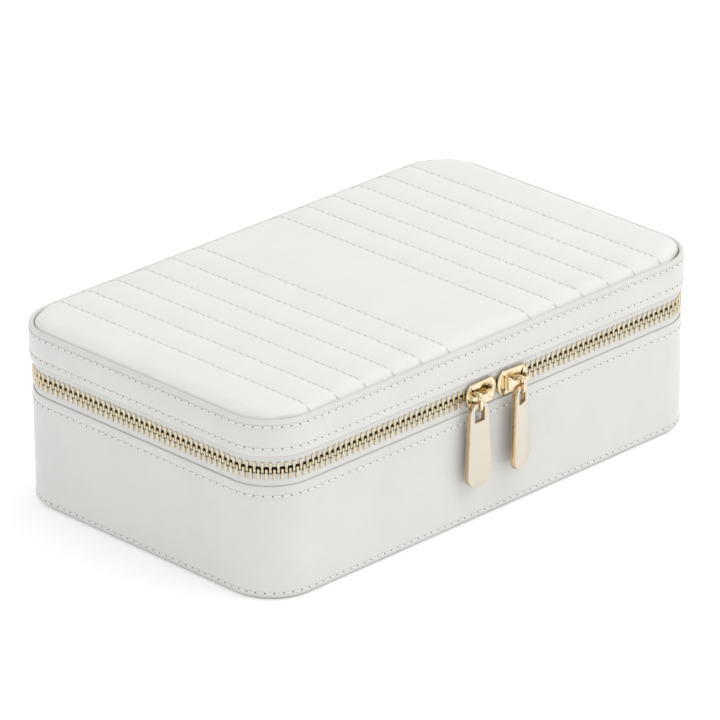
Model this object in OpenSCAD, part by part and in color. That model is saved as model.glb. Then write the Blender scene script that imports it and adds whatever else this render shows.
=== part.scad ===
// Zip-round jewelry box with a quilted lid.
// +X to the right, the front faces -Y, +Z up, origin at the middle of the base's underside.

/* [Base] */
// Length of the base, over its leather
case_l = 235; // [222:1:260]
// Depth of the base, front to back
case_w = 143; // [128:1:165]
// Corner radius of the base, seen from above
corner_r = 20; // [17:0.5:25]
// Height of the base wall, up to the zip gap
base_h = 46.9; // [42:0.1:58]
// Thickness of the leather cover
leather_t = 0.8; // [0.6:0.1:1]
// Thickness of the board under the leather
board_t = 2.5; // [2.2:0.1:3]
// Thickness of the velvet lining
lining_t = 1; // [0.6:0.1:1.4]
// Thickness of the pad that the box rests on
bottom_pad_t = 1; // [0.8:0.1:2]
// How far the bottom pad stays inside the base's outline
bottom_pad_inset = 1.4; // [1.2:0.1:6]
// Radius of the base's rounded lower edge
foot_r = 1.2; // [1:0.1:2]

/* [Lid] */
// Height of the open band that the zip fills, between base wall and lid wall
zip_gap = 12.6; // [12.2:0.1:15]
// Height of the lid wall
lid_h = 12.7; // [12:0.1:20]
// How far the lid stands proud of the base all round
lid_lip = 0.8; // [0.5:0.1:1]
// Radius of the piping round the top edge
piping_r = 1; // [0.8:0.1:1.4]
// Highest point of the quilted top above the lid wall
pad_rise = 4.8; // [4.2:0.1:6]
// Height of a seam of the quilted top above the lid wall
seam_rise = 3; // [2.6:0.1:3.4]
// Thickness of the foam slab under the quilted top
foam_t = 1.2; // [0.8:0.1:1.6]
// Distance from one quilting seam to the next
seam_pitch = 14.6; // [12:0.1:15]
// Width of the plain band between the two middle seams
plain_band = 43.8; // [20:0.1:46]
// Width of the rounded edge of the quilted top
pad_edge = 8; // [6:0.5:10]

/* [Zip] */
// Width of one row of zip teeth
teeth_h = 3.1; // [2.6:0.1:3.4]
// Distance from one tooth to the next on the same tape
teeth_pitch = 2.84; // [2.4:0.02:3.2]
// Width of one tooth along the tape
tooth_w = 1.6; // [1.2:0.1:1.8]
// Thickness of a tooth, front to back
tooth_t = 2.4; // [2:0.1:2.8]
// Thickness of the zip tape and of the leather hinge
tape_t = 0.7; // [0.5:0.1:0.9]
// Channel between the two rows of teeth, which the slider's web runs in
teeth_gap = 0.8; // [0.7:0.1:1.2]
// How far each end of the zip reaches round onto the back
zip_tail = 10; // [6:1:30]

/* [Sliders and pulls] */
// Length of a zip slider
slider_l = 16; // [15:0.5:18]
// Width of a slider at its nose
slider_w = 10.4; // [10:0.1:11]
// Width of a slider at its tail
slider_tail_w = 9.2; // [9.2:0.1:9.8]
// Thickness of a slider's plates
plate_t = 0.9; // [0.8:0.1:1.4]
// Gap between the two sliders' noses
nose_gap = 0.8; // [0.6:0.1:3]
// Place of the gap between the sliders along the front
meet_x = 1; // [-20:1:20]
// Thickness of the bridge's bar, front to back
bridge_t = 1.2; // [1:0.1:1.4]
// Height of the bridge's bar
bridge_h = 1.8; // [1.4:0.1:2]
// Wire diameter of the link between bridge and pull
wire_d = 1.2; // [1:0.1:1.4]
// Clear width inside the link
link_clear = 2.6; // [2.6:0.1:3.2]
// Straight length of the link's sides
link_straight = 2.8; // [2.8:0.1:5]
// Length of a pull
pull_l = 35; // [26:1:36]
// Width of a pull at its top
pull_top_w = 9.4; // [9:0.1:11]
// Width of a pull at its widest, near the bottom
pull_end_w = 13.4; // [10:0.1:14]
// Thickness of a pull
pull_t = 2.2; // [1.6:0.1:2.2]
// Side of the square window in a pull
window_s = 5.2; // [4.4:0.1:5.6]
// Height of the pull's bar above its window
pull_bar = 2.6; // [2:0.1:2.6]
// Turn of the right pull about the vertical as it hangs
right_twist = 18; // [0:1:18]
// How far the right link has slid along its bridge towards the nose
right_slack = 3.5; // [0:0.5:5]

/* [Inside the base] */
// Width of the ring section, on the left
ring_zone = 75; // [50:1:80]
// Width of the long section on the right
right_zone = 73; // [40:1:80]
// Width of a ring roll
roll_w = 15.6; // [12:0.2:16]
// Height of a ring roll
roll_h = 16; // [14:0.5:20]
// Gap between neighbouring ring rolls
roll_gap = 0.4; // [0.3:0.1:1]
// Thickness of a divider
divider_t = 3; // [2:0.1:4]
// How far the dividers and rolls stay below the base's rim
rim_clear = 3; // [2:0.5:8]
// Depth of the front and back sections in the middle
end_cell = 42; // [30:1:44]

/* [Inside the lid] */
// Width of the mirror
mirror_w = 90; // [60:1:92]
// Depth of the mirror
mirror_d = 94; // [60:1:96]
// Thickness of the mirror
mirror_t = 2; // [1.5:0.1:3]
// Width of the frame round the mirror
frame_w = 7; // [4:0.5:8]
// Width of the necklace pocket
pocket_w = 96; // [60:1:98]
// Depth of the necklace pocket, hinge side to mouth
pocket_d = 60; // [40:1:64]
// Height of the pocket, below the lid's lining
pocket_h = 6.6; // [6:0.1:7]
// Thickness of the pocket's cloth
cloth_t = 0.8; // [0.6:0.1:1]
// Width of the elastic band along the pocket's mouth
band_w = 7; // [4:0.5:10]
// Number of necklace pegs
peg_n = 5; // [3:1:6]
// Distance from one peg to the next
peg_pitch = 17; // [12:0.5:17]
// Diameter of a peg
peg_d = 2.4; // [2:0.1:3]
// Diameter of a peg's head
head_d = 5; // [4.5:0.1:8]

/* [Hidden] */
$fn = 64;

// Heights
cover_z = bottom_pad_t;
floor_z = cover_z + leather_t;
floor_top = floor_z + board_t;
inside_z = floor_top + lining_t;
zip_z = base_h + zip_gap / 2;
lid_z = base_h + zip_gap;
lid_top_z = lid_z + lid_h;
lid_board_z = lid_top_z - board_t;
lid_inside_z = lid_board_z - lining_t;
crown_z = lid_top_z + pad_rise;
pad_z = lid_top_z + foam_t;

// Distances outwards from the base's outline; inwards is negative
tape_out = -leather_t;
tape_in = tape_out - tape_t;
board_in = -leather_t - board_t;
lining_in = board_in - lining_t;
lid_board_out = lid_lip - leather_t;
pad_groove = 0.6;
// Depth that the piping is flattened by where it sits on the lid
piping_seat = 0.2;
pad_out = lid_lip - 2 * piping_r - pad_groove;

// Quilted top: its half length, corner radius, side height and seams on each side of the middle
pad_half = case_l / 2 + pad_out;
pad_r = corner_r + pad_out;
pad_side = 0.4;
pad_side_z = pad_z + pad_side;
seams = floor((pad_half - plain_band / 2) / seam_pitch);
function seam_at(k) = plain_band / 2 + k * seam_pitch;
last_seam = seam_at(seams - 1);
// Steps of the quilted top's grid: across a puff, past the last seam, from middle to front
puff_steps = 4;
end_steps = 8;
depth_steps = 7;

// Clear space inside the base, as half sizes from the middle
in_x = case_l / 2 + lining_in;
in_y = case_w / 2 + lining_in;

// Depth that the tape and the hinge leather reach into the walls
tape_hold = 5.5;
// Width of the leather turned under the floor
turn_under = 9;
// Gap that keeps soft pieces off their neighbours
soft_gap = 0.3;

// Zip: the teeth straddle the middle of the tape
teeth_out = tape_out - tape_t / 2 + tooth_t / 2;
teeth_in = teeth_out - tooth_t;
teeth_edge = teeth_gap / 2 + teeth_h;
teeth_inset = leather_t + tape_t / 2;
front_half = case_l / 2 - corner_r;
side_len = case_w - 2 * corner_r;
arc_len = PI * (corner_r - teeth_inset) / 2;
run_half = front_half + 2 * arc_len + side_len + zip_tail;
hinge_half = front_half - zip_tail - soft_gap;
hinge_slit = 0.4;
stop_l = 3;

// Sliders, measured outwards from the base's outline and along the zip from the nose
slider_clear = 0.3;
plate_back = teeth_out + slider_clear;
plate_front = plate_back + plate_t;
inner_front = teeth_in - slider_clear;
inner_back = inner_front - plate_t;
flange_h = 0.8;
flange_clear = 0.25;
flange_from = 2.5;
flange_end = 1.5;
tape_clear = 0.25;
web_clear = 0.2;
web_from = 1;
web_l = 4;
nose_r = 6.4;
tail_r = 7.4;
wire_clear = 0.2;
pivot_out = plate_front + wire_clear + wire_d + link_clear / 2;
bridge_from = 3.2;
bridge_leg = 1.4;
bridge_end = 0.95;
bridge_l = slider_l - bridge_from - bridge_end;
bridge_round = 1.4;
pivot_inset = 0.25;
pivot_along = bridge_from + bridge_l - bridge_leg - wire_d / 2 - pivot_inset;
link_r = (link_clear + wire_d) / 2;
sway_z = zip_z - link_straight - link_r;
pull_play = 0.1;
pull_top_z = sway_z + wire_d / 2 + pull_play + pull_bar;
bar_step = 0.1;
pull_round_top = 4;
pull_round_end = 5.4;

// Base interior
divider_top = base_h - rim_clear;
roll_step = roll_w + roll_gap;
ROLLS = 5;
ring_front_y = in_y - ROLLS * roll_step - roll_gap;
left_x = -in_x + ring_zone;
right_x = in_x - right_zone;
bed_top = divider_top - roll_h;

// Lid interior
half_inset = 0.6;
half_x = in_x / 2 - half_inset;
frame_lip = 1.2;
frame_cover = 1.5;
frame_round = 8;
mirror_round = 6;
pocket_inset = 7;
pocket_back = in_y - pocket_inset;
pocket_mouth = pocket_back - pocket_d;
peg_inset = 14;
peg_y = -in_y + peg_inset;
peg_bar_round = 3;
peg_bar_t = 1.6;
peg_bar_w = 10;
peg_l = 4.4;
head_t = 1.2;

// Rectangle with round corners, moved outwards by out
module outline(out) {
  l = case_l + 2 * out;
  w = case_w + 2 * out;
  round_rect(l, w, corner_r + out);
}

module round_rect(l, w, r) {
  square([l - 2 * r, w], center = true);
  square([l, w - 2 * r], center = true);
  for (sx = [-1, 1], sy = [-1, 1])
    translate([sx * (l / 2 - r), sy * (w / 2 - r)]) circle(r);
}

// Plate of the outline between two heights
module plate(out, z0, z1) {
  translate([0, 0, z0]) linear_extrude(z1 - z0) outline(out);
}

// Profile as a rectangle: out0 to out1 across, z0 to z1 up
module band(out0, out1, z0, z1) {
  translate([out0, z0]) square([out1 - out0, z1 - z0]);
}

// Straight wall of length l with the children's profile, facing +X
module straight_wall(l) {
  rotate([90, 0, 0]) linear_extrude(l, center = true) children();
}

// Wall along the right side, with the round corners at its two ends
module right_side() {
  translate([case_l / 2, 0, 0]) straight_wall(side_len) children();
  for (sy = [-1, 1])
    translate([front_half, sy * side_len / 2, 0]) rotate(sy > 0 ? 0 : -90)
      rotate_extrude(angle = 90) translate([corner_r, 0]) children();
}

module both_sides() {
  right_side() children();
  mirror([1, 0, 0]) right_side() children();
}

module front_wall() {
  rotate(-90) translate([case_w / 2, 0, 0]) straight_wall(2 * front_half) children();
}

// Wall all round the case
module ring_wall() {
  both_sides() children();
  front_wall() children();
  rotate(180) front_wall() children();
}

// Wall along the zip: front, sides and a short tail onto the back
module zip_wall() {
  both_sides() children();
  front_wall() children();
  for (sx = [-1, 1])
    translate([sx * (front_half - zip_tail / 2), case_w / 2, 0]) rotate(90)
      straight_wall(zip_tail) children();
}

// Place and heading on the zip's path, s along it from the middle of the front
function corner_at(y, a) = [
  front_half + (corner_r - teeth_inset) * sin(a),
  y - (corner_r - teeth_inset) * cos(a),
  a
];
function zip_at(s) =
  s < front_half ? [s, -case_w / 2 + teeth_inset, 0]
  : s < front_half + arc_len ? corner_at(-side_len / 2, 90 * (s - front_half) / arc_len)
  : s < front_half + arc_len + side_len
    ? [case_l / 2 - teeth_inset, -side_len / 2 + s - front_half - arc_len, 90]
  : s < run_half - zip_tail
    ? corner_at(side_len / 2, 90 + 90 * (s - front_half - arc_len - side_len) / arc_len)
  : [front_half - (s - run_half + zip_tail), case_w / 2 - teeth_inset, 180];

// Teeth of one tape between two heights, the first at s0 from the middle
module teeth(s0, z0) {
  last = run_half - stop_l - tooth_w;
  for (s = [s0 : teeth_pitch : last]) zip_block(s, z0, tooth_w);
  mirror([1, 0, 0])
    for (s = [s0 == 0 ? teeth_pitch : s0 : teeth_pitch : last]) zip_block(s, z0, tooth_w);
}

module zip_block(s, z0, w) {
  p = zip_at(s);
  translate([p[0], p[1], z0]) rotate(p[2]) translate([-w / 2, -tooth_t / 2, 0])
    cube([w, tooth_t, teeth_h]);
}

module stops(z0) {
  for (side = [0, 1])
    mirror([side, 0, 0]) zip_block(run_half - stop_l / 2, z0, stop_l);
}

// Strip of leather across the back between the two ends of the zip
module back_strip(z0, z1) {
  translate([-hinge_half, case_w / 2 + tape_in, z0]) cube([2 * hinge_half, tape_t, z1 - z0]);
}

// Base

module base_floor() {
  color("tan") plate(tape_out, floor_z, floor_top);
}

module base_walls() {
  color("tan") ring_wall() polygon([
    [board_in, floor_top],
    [tape_out, floor_top],
    [tape_out, base_h - tape_hold],
    [tape_in, base_h - tape_hold],
    [tape_in, base_h - lining_t],
    [board_in, base_h - lining_t]
  ]);
}

module base_cover() {
  color("whitesmoke") ring_wall() difference() {
    union() {
      band(-leather_t, 0, cover_z, base_h);
      band(-turn_under, 0, cover_z, floor_z);
    }
    difference() {
      band(-foot_r, 1, cover_z - 1, cover_z + foot_r);
      translate([-foot_r, cover_z + foot_r]) circle(foot_r);
      band(-foot_r - 1, -foot_r, cover_z - 1, cover_z + foot_r);
    }
  }
}

module bottom_pad() {
  color("gainsboro") plate(-bottom_pad_inset, 0, cover_z);
}

module wall_lining() {
  color("lightgray") ring_wall() union() {
    band(lining_in, board_in, floor_top, base_h);
    band(lining_in, tape_in, base_h - lining_t, base_h);
  }
}

module floor_lining() {
  color("lightgray") plate(lining_in, floor_top, inside_z);
}

module zip_tape_lower() {
  color("white") zip_wall() band(tape_in, tape_out, base_h - tape_hold, zip_z - teeth_edge);
}

module zip_teeth_lower() {
  color("gold") teeth(teeth_pitch / 2, zip_z - teeth_edge);
}

module zip_stops_lower() {
  color("gold") stops(zip_z - teeth_edge);
}

module hinge_strip_lower() {
  color("whitesmoke") back_strip(base_h - tape_hold, zip_z - hinge_slit / 2);
}

// Base interior

module divider(x0, x1, y0, y1) {
  color("silver") translate([x0, y0, inside_z]) cube([x1 - x0, y1 - y0, divider_top - inside_z]);
}

module divider_left() {
  divider(left_x, left_x + divider_t, -in_y, in_y);
}

module divider_right() {
  divider(right_x - divider_t, right_x, -in_y, in_y);
}

module divider_ring_front() {
  divider(-in_x, left_x, ring_front_y - divider_t, ring_front_y);
}

module divider_mid_front() {
  divider(left_x + divider_t, right_x - divider_t, -in_y + end_cell, -in_y + end_cell + divider_t);
}

module divider_mid_back() {
  divider(left_x + divider_t, right_x - divider_t, in_y - end_cell - divider_t, in_y - end_cell);
}

// Space of the ring section, round where the case's corner is round
module ring_space() {
  intersection() {
    plate(lining_in - soft_gap, inside_z, divider_top);
    translate([-in_x, ring_front_y + soft_gap, inside_z])
      cube([ring_zone - soft_gap, in_y - ring_front_y, divider_top]);
  }
}

module ring_bed() {
  color("lightgray") intersection() {
    ring_space();
    translate([-in_x, ring_front_y, inside_z]) cube([ring_zone, 2 * in_y, bed_top - inside_z]);
  }
}

module ring_roll(i) {
  r = roll_w / 2;
  color("lightgray") intersection() {
    ring_space();
    translate([-in_x + ring_zone / 2, in_y - roll_gap - r - (i - 1) * roll_step, 0]) rotate(90)
      straight_wall(ring_zone) union() {
        translate([0, divider_top - r]) circle(r);
        band(-r, r, bed_top, divider_top - r);
      }
  }
}

// Lid

module lid_top() {
  color("tan") plate(lid_board_out, lid_board_z, lid_top_z);
}

module lid_walls() {
  color("tan") ring_wall() polygon([
    [board_in, lid_z + lining_t],
    [tape_in, lid_z + lining_t],
    [tape_in, lid_z + tape_hold],
    [tape_out, lid_z + tape_hold],
    [tape_out, lid_z + leather_t],
    [lid_board_out, lid_z + leather_t],
    [lid_board_out, lid_board_z],
    [board_in, lid_board_z]
  ]);
}

module lid_cover() {
  color("whitesmoke") ring_wall() union() {
    band(lid_board_out, lid_lip, lid_z, lid_top_z);
    band(tape_out, lid_lip, lid_z, lid_z + leather_t);
  }
}

module lid_piping() {
  color("whitesmoke") ring_wall() intersection() {
    translate([lid_lip - piping_r, lid_top_z + piping_r - piping_seat]) circle(piping_r);
    band(lid_lip - 2 * piping_r, lid_lip, lid_top_z, lid_top_z + 2 * piping_r);
  }
}

module top_foam() {
  color("ivory") plate(pad_out, lid_top_z, pad_z);
}

// Quilted cushion: a grid of heights over the outline, with a puff between each two seams

function steps(x0, x1, n) = [for (i = [1 : 1 : n]) x0 + (x1 - x0) * i / n];
function rounding(d) = sqrt(1 - pow(1 - min(max(d / pad_edge, 0), 1), 2));
function pad_depth(x) =
  let (over = max(abs(x) - front_half, 0))
  side_len / 2 + sqrt(max(pow(pad_r, 2) - over * over, 0));

// Height of the cushion under no edge: parabolas between the seams, level past the last half puff
function puff_z(x) =
  let (past = abs(x) - plain_band / 2)
  let (u = past < 0 ? 2 * past / plain_band + 1
    : past > last_seam - plain_band / 2 ? min((abs(x) - last_seam) / (seam_pitch / 2), 1) - 1
    : 2 * (past / seam_pitch - floor(past / seam_pitch)) - 1)
  crown_z - (crown_z - lid_top_z - seam_rise) * u * u;

function pad_point(x, v) =
  let (depth = pad_depth(x))
  let (shape = rounding(pad_half - abs(x)) * rounding(depth * (1 - abs(v))))
  [x, v * depth, pad_side_z + (puff_z(x) - pad_side_z) * shape];

// Two triangles of the side a, b, c, d
function quad(a, b, c, d) = [[a, b, c], [a, c, d]];

module quilted_top() {
  right_half = concat(
    steps(0, plain_band / 2, puff_steps),
    [for (k = [1 : 1 : seams - 1]) each steps(seam_at(k - 1), seam_at(k), puff_steps)],
    [for (i = [1 : 1 : end_steps]) last_seam + (pad_half - last_seam) * sin(90 * i / end_steps)]
  );
  n = len(right_half);
  xs = concat([for (i = [n - 1 : -1 : 0]) -right_half[i]], [0], right_half);
  vs = [for (j = [-depth_steps : 1 : depth_steps]) sin(90 * j / depth_steps)];
  m = len(vs);
  rows = len(xs);
  top = [for (x = xs) for (v = vs) pad_point(x, v)];
  rim = concat(
    [for (i = [0 : 1 : rows - 1]) i * m],
    [for (j = [1 : 1 : m - 1]) (rows - 1) * m + j],
    [for (i = [rows - 2 : -1 : 0]) i * m + m - 1],
    [for (j = [m - 2 : -1 : 1]) j]
  );
  r = len(rim);
  count = len(top);
  faces = concat(
    [for (i = [0 : 1 : rows - 2]) for (j = [0 : 1 : m - 2])
      each quad(i * m + j, i * m + j + 1, (i + 1) * m + j + 1, (i + 1) * m + j)],
    [for (k = [0 : 1 : r - 1]) each quad(rim[k], rim[(k + 1) % r], count + (k + 1) % r, count + k)],
    [for (k = [0 : 1 : r - 1]) [count + k, count + (k + 1) % r, count + r]]
  );
  foot = [for (k = rim) [top[k][0], top[k][1], pad_z]];
  color("white") polyhedron(points = concat(top, foot, [[0, 0, pad_z]]), faces = faces);
}

module lid_wall_lining() {
  color("lightgray") ring_wall() union() {
    band(lining_in, board_in, lid_z, lid_inside_z);
    band(lining_in, tape_in, lid_z, lid_z + lining_t);
  }
}

module lid_top_lining() {
  color("lightgray") plate(board_in, lid_inside_z, lid_board_z);
}

module zip_tape_upper() {
  color("white") zip_wall() band(tape_in, tape_out, zip_z + teeth_edge, lid_z + tape_hold);
}

module zip_teeth_upper() {
  color("gold") teeth(0, zip_z + teeth_gap / 2);
}

module zip_stops_upper() {
  color("gold") stops(zip_z + teeth_gap / 2);
}

module hinge_strip_upper() {
  color("whitesmoke") back_strip(zip_z + hinge_slit / 2, lid_z + tape_hold);
}

// Lid interior

module mirror_plate(w, d, r, z0, z1) {
  translate([half_x, 0, z0]) linear_extrude(z1 - z0) round_rect(w, d, r);
}

module mirror_glass() {
  color("lightsteelblue")
    mirror_plate(mirror_w, mirror_d, mirror_round, lid_inside_z - mirror_t, lid_inside_z);
}

module mirror_frame() {
  face_z = lid_inside_z - mirror_t - frame_lip;
  view_w = mirror_w - 2 * frame_cover;
  view_d = mirror_d - 2 * frame_cover;
  color("whitesmoke") difference() {
    mirror_plate(mirror_w + 2 * frame_w, mirror_d + 2 * frame_w, frame_round, face_z, lid_inside_z);
    mirror_plate(mirror_w, mirror_d, mirror_round, lid_inside_z - mirror_t, lid_inside_z + 1);
    mirror_plate(view_w, view_d, mirror_round - frame_cover, face_z - 1, lid_inside_z);
  }
}

module peg_bar() {
  color("whitesmoke") translate([-half_x, peg_y, lid_inside_z - peg_bar_t])
    linear_extrude(peg_bar_t) round_rect(peg_pitch * peg_n, peg_bar_w, peg_bar_round);
}

module necklace_pegs() {
  top = lid_inside_z - peg_bar_t;
  color("gold") for (i = [0 : 1 : peg_n - 1])
    translate([-half_x + (i - (peg_n - 1) / 2) * peg_pitch, peg_y, 0]) {
      translate([0, 0, top - peg_l]) cylinder(h = peg_l, d = peg_d);
      translate([0, 0, top - peg_l - head_t]) cylinder(h = head_t, d = head_d);
    }
}

// Cloth box hung from the lid's lining, open at its mouth
module pocket() {
  color("lightgray") difference() {
    translate([-half_x - pocket_w / 2, pocket_mouth + band_w, lid_inside_z - pocket_h])
      cube([pocket_w, pocket_d - band_w, pocket_h]);
    pocket_hollow();
  }
}

module pocket_hollow() {
  translate([-half_x - pocket_w / 2 + cloth_t, pocket_mouth - 1, lid_inside_z - pocket_h + cloth_t])
    cube([pocket_w - 2 * cloth_t, pocket_d - cloth_t + 1, pocket_h]);
}

// Elastic hem of the pocket, with its two ends sewn to the lining
module pocket_band() {
  color("gainsboro") difference() {
    translate([-half_x - pocket_w / 2, pocket_mouth, lid_inside_z - pocket_h])
      cube([pocket_w, band_w, pocket_h]);
    pocket_hollow();
  }
}

// Sliders and pulls: the left one is drawn, with its nose at x = 0 and its tail at -X

// Outline of a slider's plates, seen from the front: along the zip and up
module slider_outline() {
  intersection() {
    polygon([
      [0, -slider_w / 2],
      [0, slider_w / 2],
      [-slider_l, slider_tail_w / 2],
      [-slider_l, -slider_tail_w / 2]
    ]);
    union() {
      intersection() {
        translate([-nose_r, 0]) circle(nose_r);
        translate([-nose_r, -slider_w]) square([nose_r, 2 * slider_w]);
      }
      intersection() {
        translate([-slider_l + tail_r, 0]) circle(tail_r);
        translate([-slider_l, -slider_w]) square([slider_l - nose_r, 2 * slider_w]);
      }
    }
  }
}

// Block between two distances outwards from the base's front
module front_block(x0, x1, out0, out1, z0, z1) {
  translate([x0, -case_w / 2 - out1, z0]) cube([x1 - x0, out1 - out0, z1 - z0]);
}

module slider_plate(out0, out1) {
  translate([0, -case_w / 2 - out0, zip_z]) rotate([90, 0, 0])
    linear_extrude(out1 - out0) slider_outline();
}

// The upper side has no flange, so the lid's teeth lift out of the slider
module slider() {
  web_h = teeth_gap / 2 - web_clear;
  flange_z = zip_z - teeth_edge - flange_clear;
  flange_x = -slider_l + flange_end;
  flange_lo = flange_z - flange_h;
  color("gold") union() {
    slider_plate(plate_back, plate_front);
    slider_plate(inner_back, inner_front);
    front_block(-web_from - web_l, -web_from, inner_back, plate_front, zip_z - web_h, zip_z + web_h);
    front_block(flange_x, -flange_from, tape_out + tape_clear, plate_front, flange_lo, flange_z);
    front_block(flange_x, -flange_from, inner_back, tape_in - tape_clear, flange_lo, flange_z);
  }
}

module bridge() {
  bar_out = pivot_out + bridge_t / 2;
  inner_out = pivot_out - bridge_t / 2;
  color("gold") translate([-bridge_from, -case_w / 2, zip_z - bridge_h / 2]) linear_extrude(bridge_h)
    difference() {
      arch(bridge_l, bar_out, bridge_round);
      translate([-bridge_leg, 0]) arch(bridge_l - 2 * bridge_leg, inner_out, bridge_round / 2);
    }
}

// Block from the slider's plate out to out, its two outer corners round
module arch(l, out, r) {
  translate([-l, -out + r]) square([l, out - r - plate_front]);
  translate([-l + r, -out]) square([l - 2 * r, r]);
  for (x = [-r, -l + r])
    translate([x, -out + r]) circle(r);
}

// Half of the link's ring, its ends pointing down
module half_ring() {
  rotate([90, 0, 90]) rotate_extrude(angle = 180) translate([link_r, 0]) circle(wire_d / 2);
}

// Link hanging from its pivot at the origin
module link() {
  color("gold") union() {
    half_ring();
    translate([0, 0, -link_straight]) mirror([0, 0, 1]) half_ring();
    for (sy = [-1, 1])
      translate([0, sy * link_r, -link_straight]) cylinder(h = link_straight, d = wire_d);
  }
}

// Points along an arc about (x, y), from angle a0 to a1
function arc_points(x, y, r, a0, a1) =
  [for (i = [0 : 1 : 8]) let (a = a0 + (a1 - a0) * i / 8) [x + r * cos(a), y + r * sin(a)]];

// Outline of a pull, its top edge at y = 0
module pull_outline() {
  slope = atan((pull_end_w - pull_top_w) / 2 / pull_l);
  top_x = pull_top_w / 2 + pull_round_top * tan(slope) - pull_round_top / cos(slope);
  end_x = pull_end_w / 2 - pull_round_end * tan(slope) - pull_round_end / cos(slope);
  top_y = -pull_round_top;
  end_y = -pull_l + pull_round_end;
  polygon(concat(
    arc_points(top_x, top_y, pull_round_top, slope, 90),
    arc_points(-top_x, top_y, pull_round_top, 90, 180 - slope),
    arc_points(-end_x, end_y, pull_round_end, 180 - slope, 270),
    arc_points(end_x, end_y, pull_round_end, 270, 360 + slope)
  ));
}

// Pull with its top edge at z = 0; the bar over its window is round where the link bears
module pull() {
  bar_r = pull_t / 2 - bar_step;
  color("gold") union() {
    rotate([90, 0, 0]) linear_extrude(pull_t, center = true) difference() {
      pull_outline();
      translate([-window_s / 2, -pull_bar - window_s]) square([window_s, window_s + bar_r]);
    }
    translate([0, 0, bar_r - pull_bar]) rotate([0, 90, 0])
      cylinder(h = window_s + 2 * bar_step, r = bar_r, center = true);
  }
}

// Right-hand copies are mirrored about the place where the sliders meet
module left() {
  translate([meet_x - nose_gap / 2, 0, 0]) children();
}

module right() {
  translate([meet_x + nose_gap / 2, 0, 0]) mirror([1, 0, 0]) children();
}

// The place that a link and its pull hang from
module hang(twist, slack) {
  translate([slack - pivot_along, -case_w / 2 - pivot_out, zip_z]) rotate(twist) children();
}

module pull_on_link() {
  translate([0, 0, pull_top_z - zip_z]) pull();
}

module slider_left() {
  left() slider();
}

module bridge_left() {
  left() bridge();
}

module link_left() {
  left() hang(0, 0) link();
}

module pull_left() {
  left() hang(0, 0) pull_on_link();
}

module slider_right() {
  right() slider();
}

module bridge_right() {
  right() bridge();
}

module link_right() {
  right() hang(-right_twist, right_slack) link();
}

module pull_right() {
  right() hang(-right_twist, right_slack) pull_on_link();
}

base_floor();
base_walls();
base_cover();
bottom_pad();
wall_lining();
floor_lining();
zip_tape_lower();
zip_teeth_lower();
zip_stops_lower();
hinge_strip_lower();
divider_left();
divider_right();
divider_ring_front();
divider_mid_front();
divider_mid_back();
ring_bed();
ring_roll(1);  // ring_roll_1
ring_roll(2);  // ring_roll_2
ring_roll(3);  // ring_roll_3
ring_roll(4);  // ring_roll_4
ring_roll(5);  // ring_roll_5
lid_top();
lid_walls();
lid_cover();
lid_piping();
top_foam();
quilted_top();
lid_wall_lining();
lid_top_lining();
zip_tape_upper();
zip_teeth_upper();
zip_stops_upper();
hinge_strip_upper();
mirror_glass();
mirror_frame();
peg_bar();
necklace_pegs();
pocket();
pocket_band();
slider_left();
bridge_left();
link_left();
pull_left();
slider_right();
bridge_right();
link_right();
pull_right();
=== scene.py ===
import math

import bmesh
import bpy
import numpy as np
from mathutils import Matrix, Vector, noise
from mathutils.bvhtree import BVHTree


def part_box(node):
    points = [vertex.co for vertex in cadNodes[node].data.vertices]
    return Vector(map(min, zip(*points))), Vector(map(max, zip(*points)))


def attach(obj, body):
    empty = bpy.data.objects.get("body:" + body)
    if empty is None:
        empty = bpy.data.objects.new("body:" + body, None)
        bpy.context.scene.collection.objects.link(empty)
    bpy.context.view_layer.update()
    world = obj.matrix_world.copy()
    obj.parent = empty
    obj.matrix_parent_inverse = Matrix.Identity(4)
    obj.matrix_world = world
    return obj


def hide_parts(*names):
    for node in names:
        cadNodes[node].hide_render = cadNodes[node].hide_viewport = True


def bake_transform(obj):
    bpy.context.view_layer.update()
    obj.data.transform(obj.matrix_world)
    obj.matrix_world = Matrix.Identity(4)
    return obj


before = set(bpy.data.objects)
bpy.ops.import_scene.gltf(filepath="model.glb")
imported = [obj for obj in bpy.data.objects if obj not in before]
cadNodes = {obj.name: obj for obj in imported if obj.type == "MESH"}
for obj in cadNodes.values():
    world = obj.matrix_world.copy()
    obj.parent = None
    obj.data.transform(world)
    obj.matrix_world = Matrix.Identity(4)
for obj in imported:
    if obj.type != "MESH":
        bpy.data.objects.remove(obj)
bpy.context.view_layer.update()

mm = 0.001
up = Vector((0, 0, 1))

# sizes shared by many pieces, in millimetres, in the frame of the CAD nodes
# an "out" is measured outwards from the base's wall, so it is negative inside it
case = {
    "length": 235.0, "depth": 143.0, "cornerRadius": 20.0,
    "baseTop": 46.9, "zipMiddle": 53.2, "lidBottom": 59.5, "lidTop": 72.2, "lidLip": 0.8,
    "leatherThick": 0.8, "padThick": 1.0, "boardInner": -3.3, "liningInner": -4.3,
    "insideZ": 5.3, "lidInsideZ": 68.7,
}
straightX = case["length"] / 2 - case["cornerRadius"]
straightY = case["depth"] / 2 - case["cornerRadius"]
insideX = case["length"] / 2 + case["liningInner"]
insideY = case["depth"] / 2 + case["liningInner"]
insideRadius = case["cornerRadius"] + case["liningInner"]
corners = ((1, -1, -90), (1, 1, 0), (-1, 1, 90), (-1, -1, 180))

scratch = bpy.data.collections.new("scratch")
bpy.context.scene.collection.children.link(scratch)


# a node with its settings and inputs, where an input is a value or another node's socket
def addNode(tree, kind, inputs=None, **settings):
    made = tree.nodes.new(kind)
    for key, value in settings.items():
        setattr(made, key, value)
    for key, value in (inputs or {}).items():
        if isinstance(value, bpy.types.NodeSocket):
            tree.links.new(value, made.inputs[key])
        elif value is not None:
            made.inputs[key].default_value = value
    return made


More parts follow.
